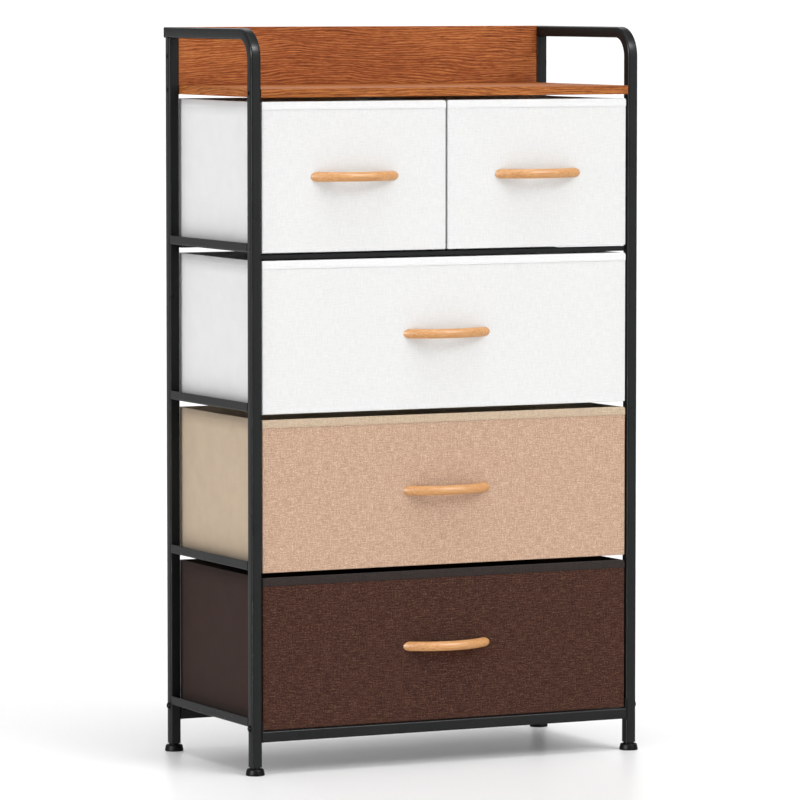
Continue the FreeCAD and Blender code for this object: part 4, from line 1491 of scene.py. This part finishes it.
@dataclass(frozen=True)
class Light:
    """A far light over the whole scene. Its azimuth counts to the right from the dresser's front, in degrees.

    A light that is only for gloss shows in highlights and lights nothing else.
    """

    name: str
    azimuth: float
    height: float
    strength: float
    softness: float
    only_gloss: bool = False

    def build(self) -> None:
        """Adds the light."""
        data = bpy.data.lights.new(self.name, "SUN")
        data.energy = self.strength
        data.angle = math.radians(self.softness)
        item = bpy.data.objects.new(self.name, data)
        item.rotation_euler = (math.radians(90 - self.height), 0, math.radians(self.azimuth))
        item.location = (0, 0, 4)
        item.visible_diffuse = not self.only_gloss
        bpy.context.scene.collection.objects.link(item)


@dataclass
class Studio:
    """Floor, light and camera."""

    floor_half: float = 60.0
    sky_seen: float = 1.1
    sky: float = 0.52
    lens: float = 248.6
    camera_place: Triple = (-3.3623, -6.8073, 1.0599)
    yaw: float = 26.2398
    pitch: float = 4.3146
    lights: tuple[Light, ...] = (
        Light("key_light", azimuth=26, height=42, strength=1.42, softness=30),
        Light("side_light", azimuth=-86, height=9, strength=0.8, softness=24),
        Light("top_light", azimuth=10, height=80, strength=1.6, softness=34),
        Light("rear_light", azimuth=168, height=34, strength=0.7, softness=40),
        Light("right_glint", azimuth=26, height=39, strength=4.0, softness=7, only_gloss=True),
        Light("left_glint", azimuth=-68, height=17, strength=9.0, softness=10, only_gloss=True),
        Light("front_sheen", azimuth=26, height=8, strength=1.0, softness=40, only_gloss=True),
    )

    def floor(self) -> None:
        """A wide pale floor that isn't part of the dresser."""
        data = bpy.data.meshes.new("studio_floor")
        bm = bmesh.new()
        bmesh.ops.create_grid(bm, x_segments=1, y_segments=1, size=self.floor_half)
        bm.to_mesh(data)
        bm.free()
        item = bpy.data.objects.new("studio_floor", data)
        item.data.materials.append(material_of(FLOOR))
        bpy.context.scene.collection.objects.link(item)

    def surroundings(self) -> None:
        """An even white room: bright to the camera, a little dimmer as a light."""
        world = bpy.data.worlds.new("white_room")
        bpy.context.scene.world = world
        world.use_nodes = True
        tree = world.node_tree
        tree.nodes.clear()
        seen, shining = (
            add_node(tree, "Background", {"Color": PURE_WHITE, "Strength": strength}).outputs["Background"]
            for strength in (self.sky_seen, self.sky)
        )
        to_camera = add_node(tree, "LightPath", {}).outputs["Is Camera Ray"]
        mix = add_node(tree, "MixShader", {"Fac": to_camera, 1: shining, 2: seen})
        add_node(tree, "OutputWorld", {"Surface": mix.outputs["Shader"]})

    def camera(self) -> None:
        """The camera, far off on the left in front, looking a little down."""
        data = bpy.data.cameras.new("camera")
        data.lens = self.lens
        data.clip_start = 0.1
        data.clip_end = 200
        item = bpy.data.objects.new("camera", data)
        item.location = self.camera_place
        item.rotation_euler = (math.radians(90 - self.pitch), 0, math.radians(-self.yaw))
        bpy.context.scene.collection.objects.link(item)
        bpy.context.scene.camera = item

    def build(self) -> None:
        """Sets up the whole studio."""
        self.floor()
        self.surroundings()
        for light in self.lights:
            light.build()
        self.camera()
        bpy.context.scene.view_settings.view_transform = "Standard"
        bpy.context.scene.view_settings.look = "None"


# ----- the dresser -----


@dataclass
class Dresser:
    """The whole dresser, by its sub-assemblies."""

    drawers: dict[str, DrawerFabrics] = field(
        default_factory=lambda: {
            "upper_left": WHITE,
            "upper_right": WHITE,
            "second": WHITE,
            "third": TAN,
            "bottom": BROWN,
        }
    )
    feet: tuple[str, ...] = ("front_left_foot", "front_right_foot", "rear_left_foot", "rear_right_foot")

    def build(self) -> None:
        """Builds the sub-assemblies in order."""
        SteelFrame().build()
        WoodenTop().build()
        FrameFasteners().build()
        for foot in self.feet:
            LevellingFoot(foot).build()
        for name, cloths in self.drawers.items():
            FabricDrawer(name, cloths).build()


def main() -> None:
    """Builds the dresser and its studio."""
    logging.basicConfig(level=logging.INFO, format="%(message)s")
    Dresser().build()
    Studio().build()


if __name__ == "__main__":
    main()
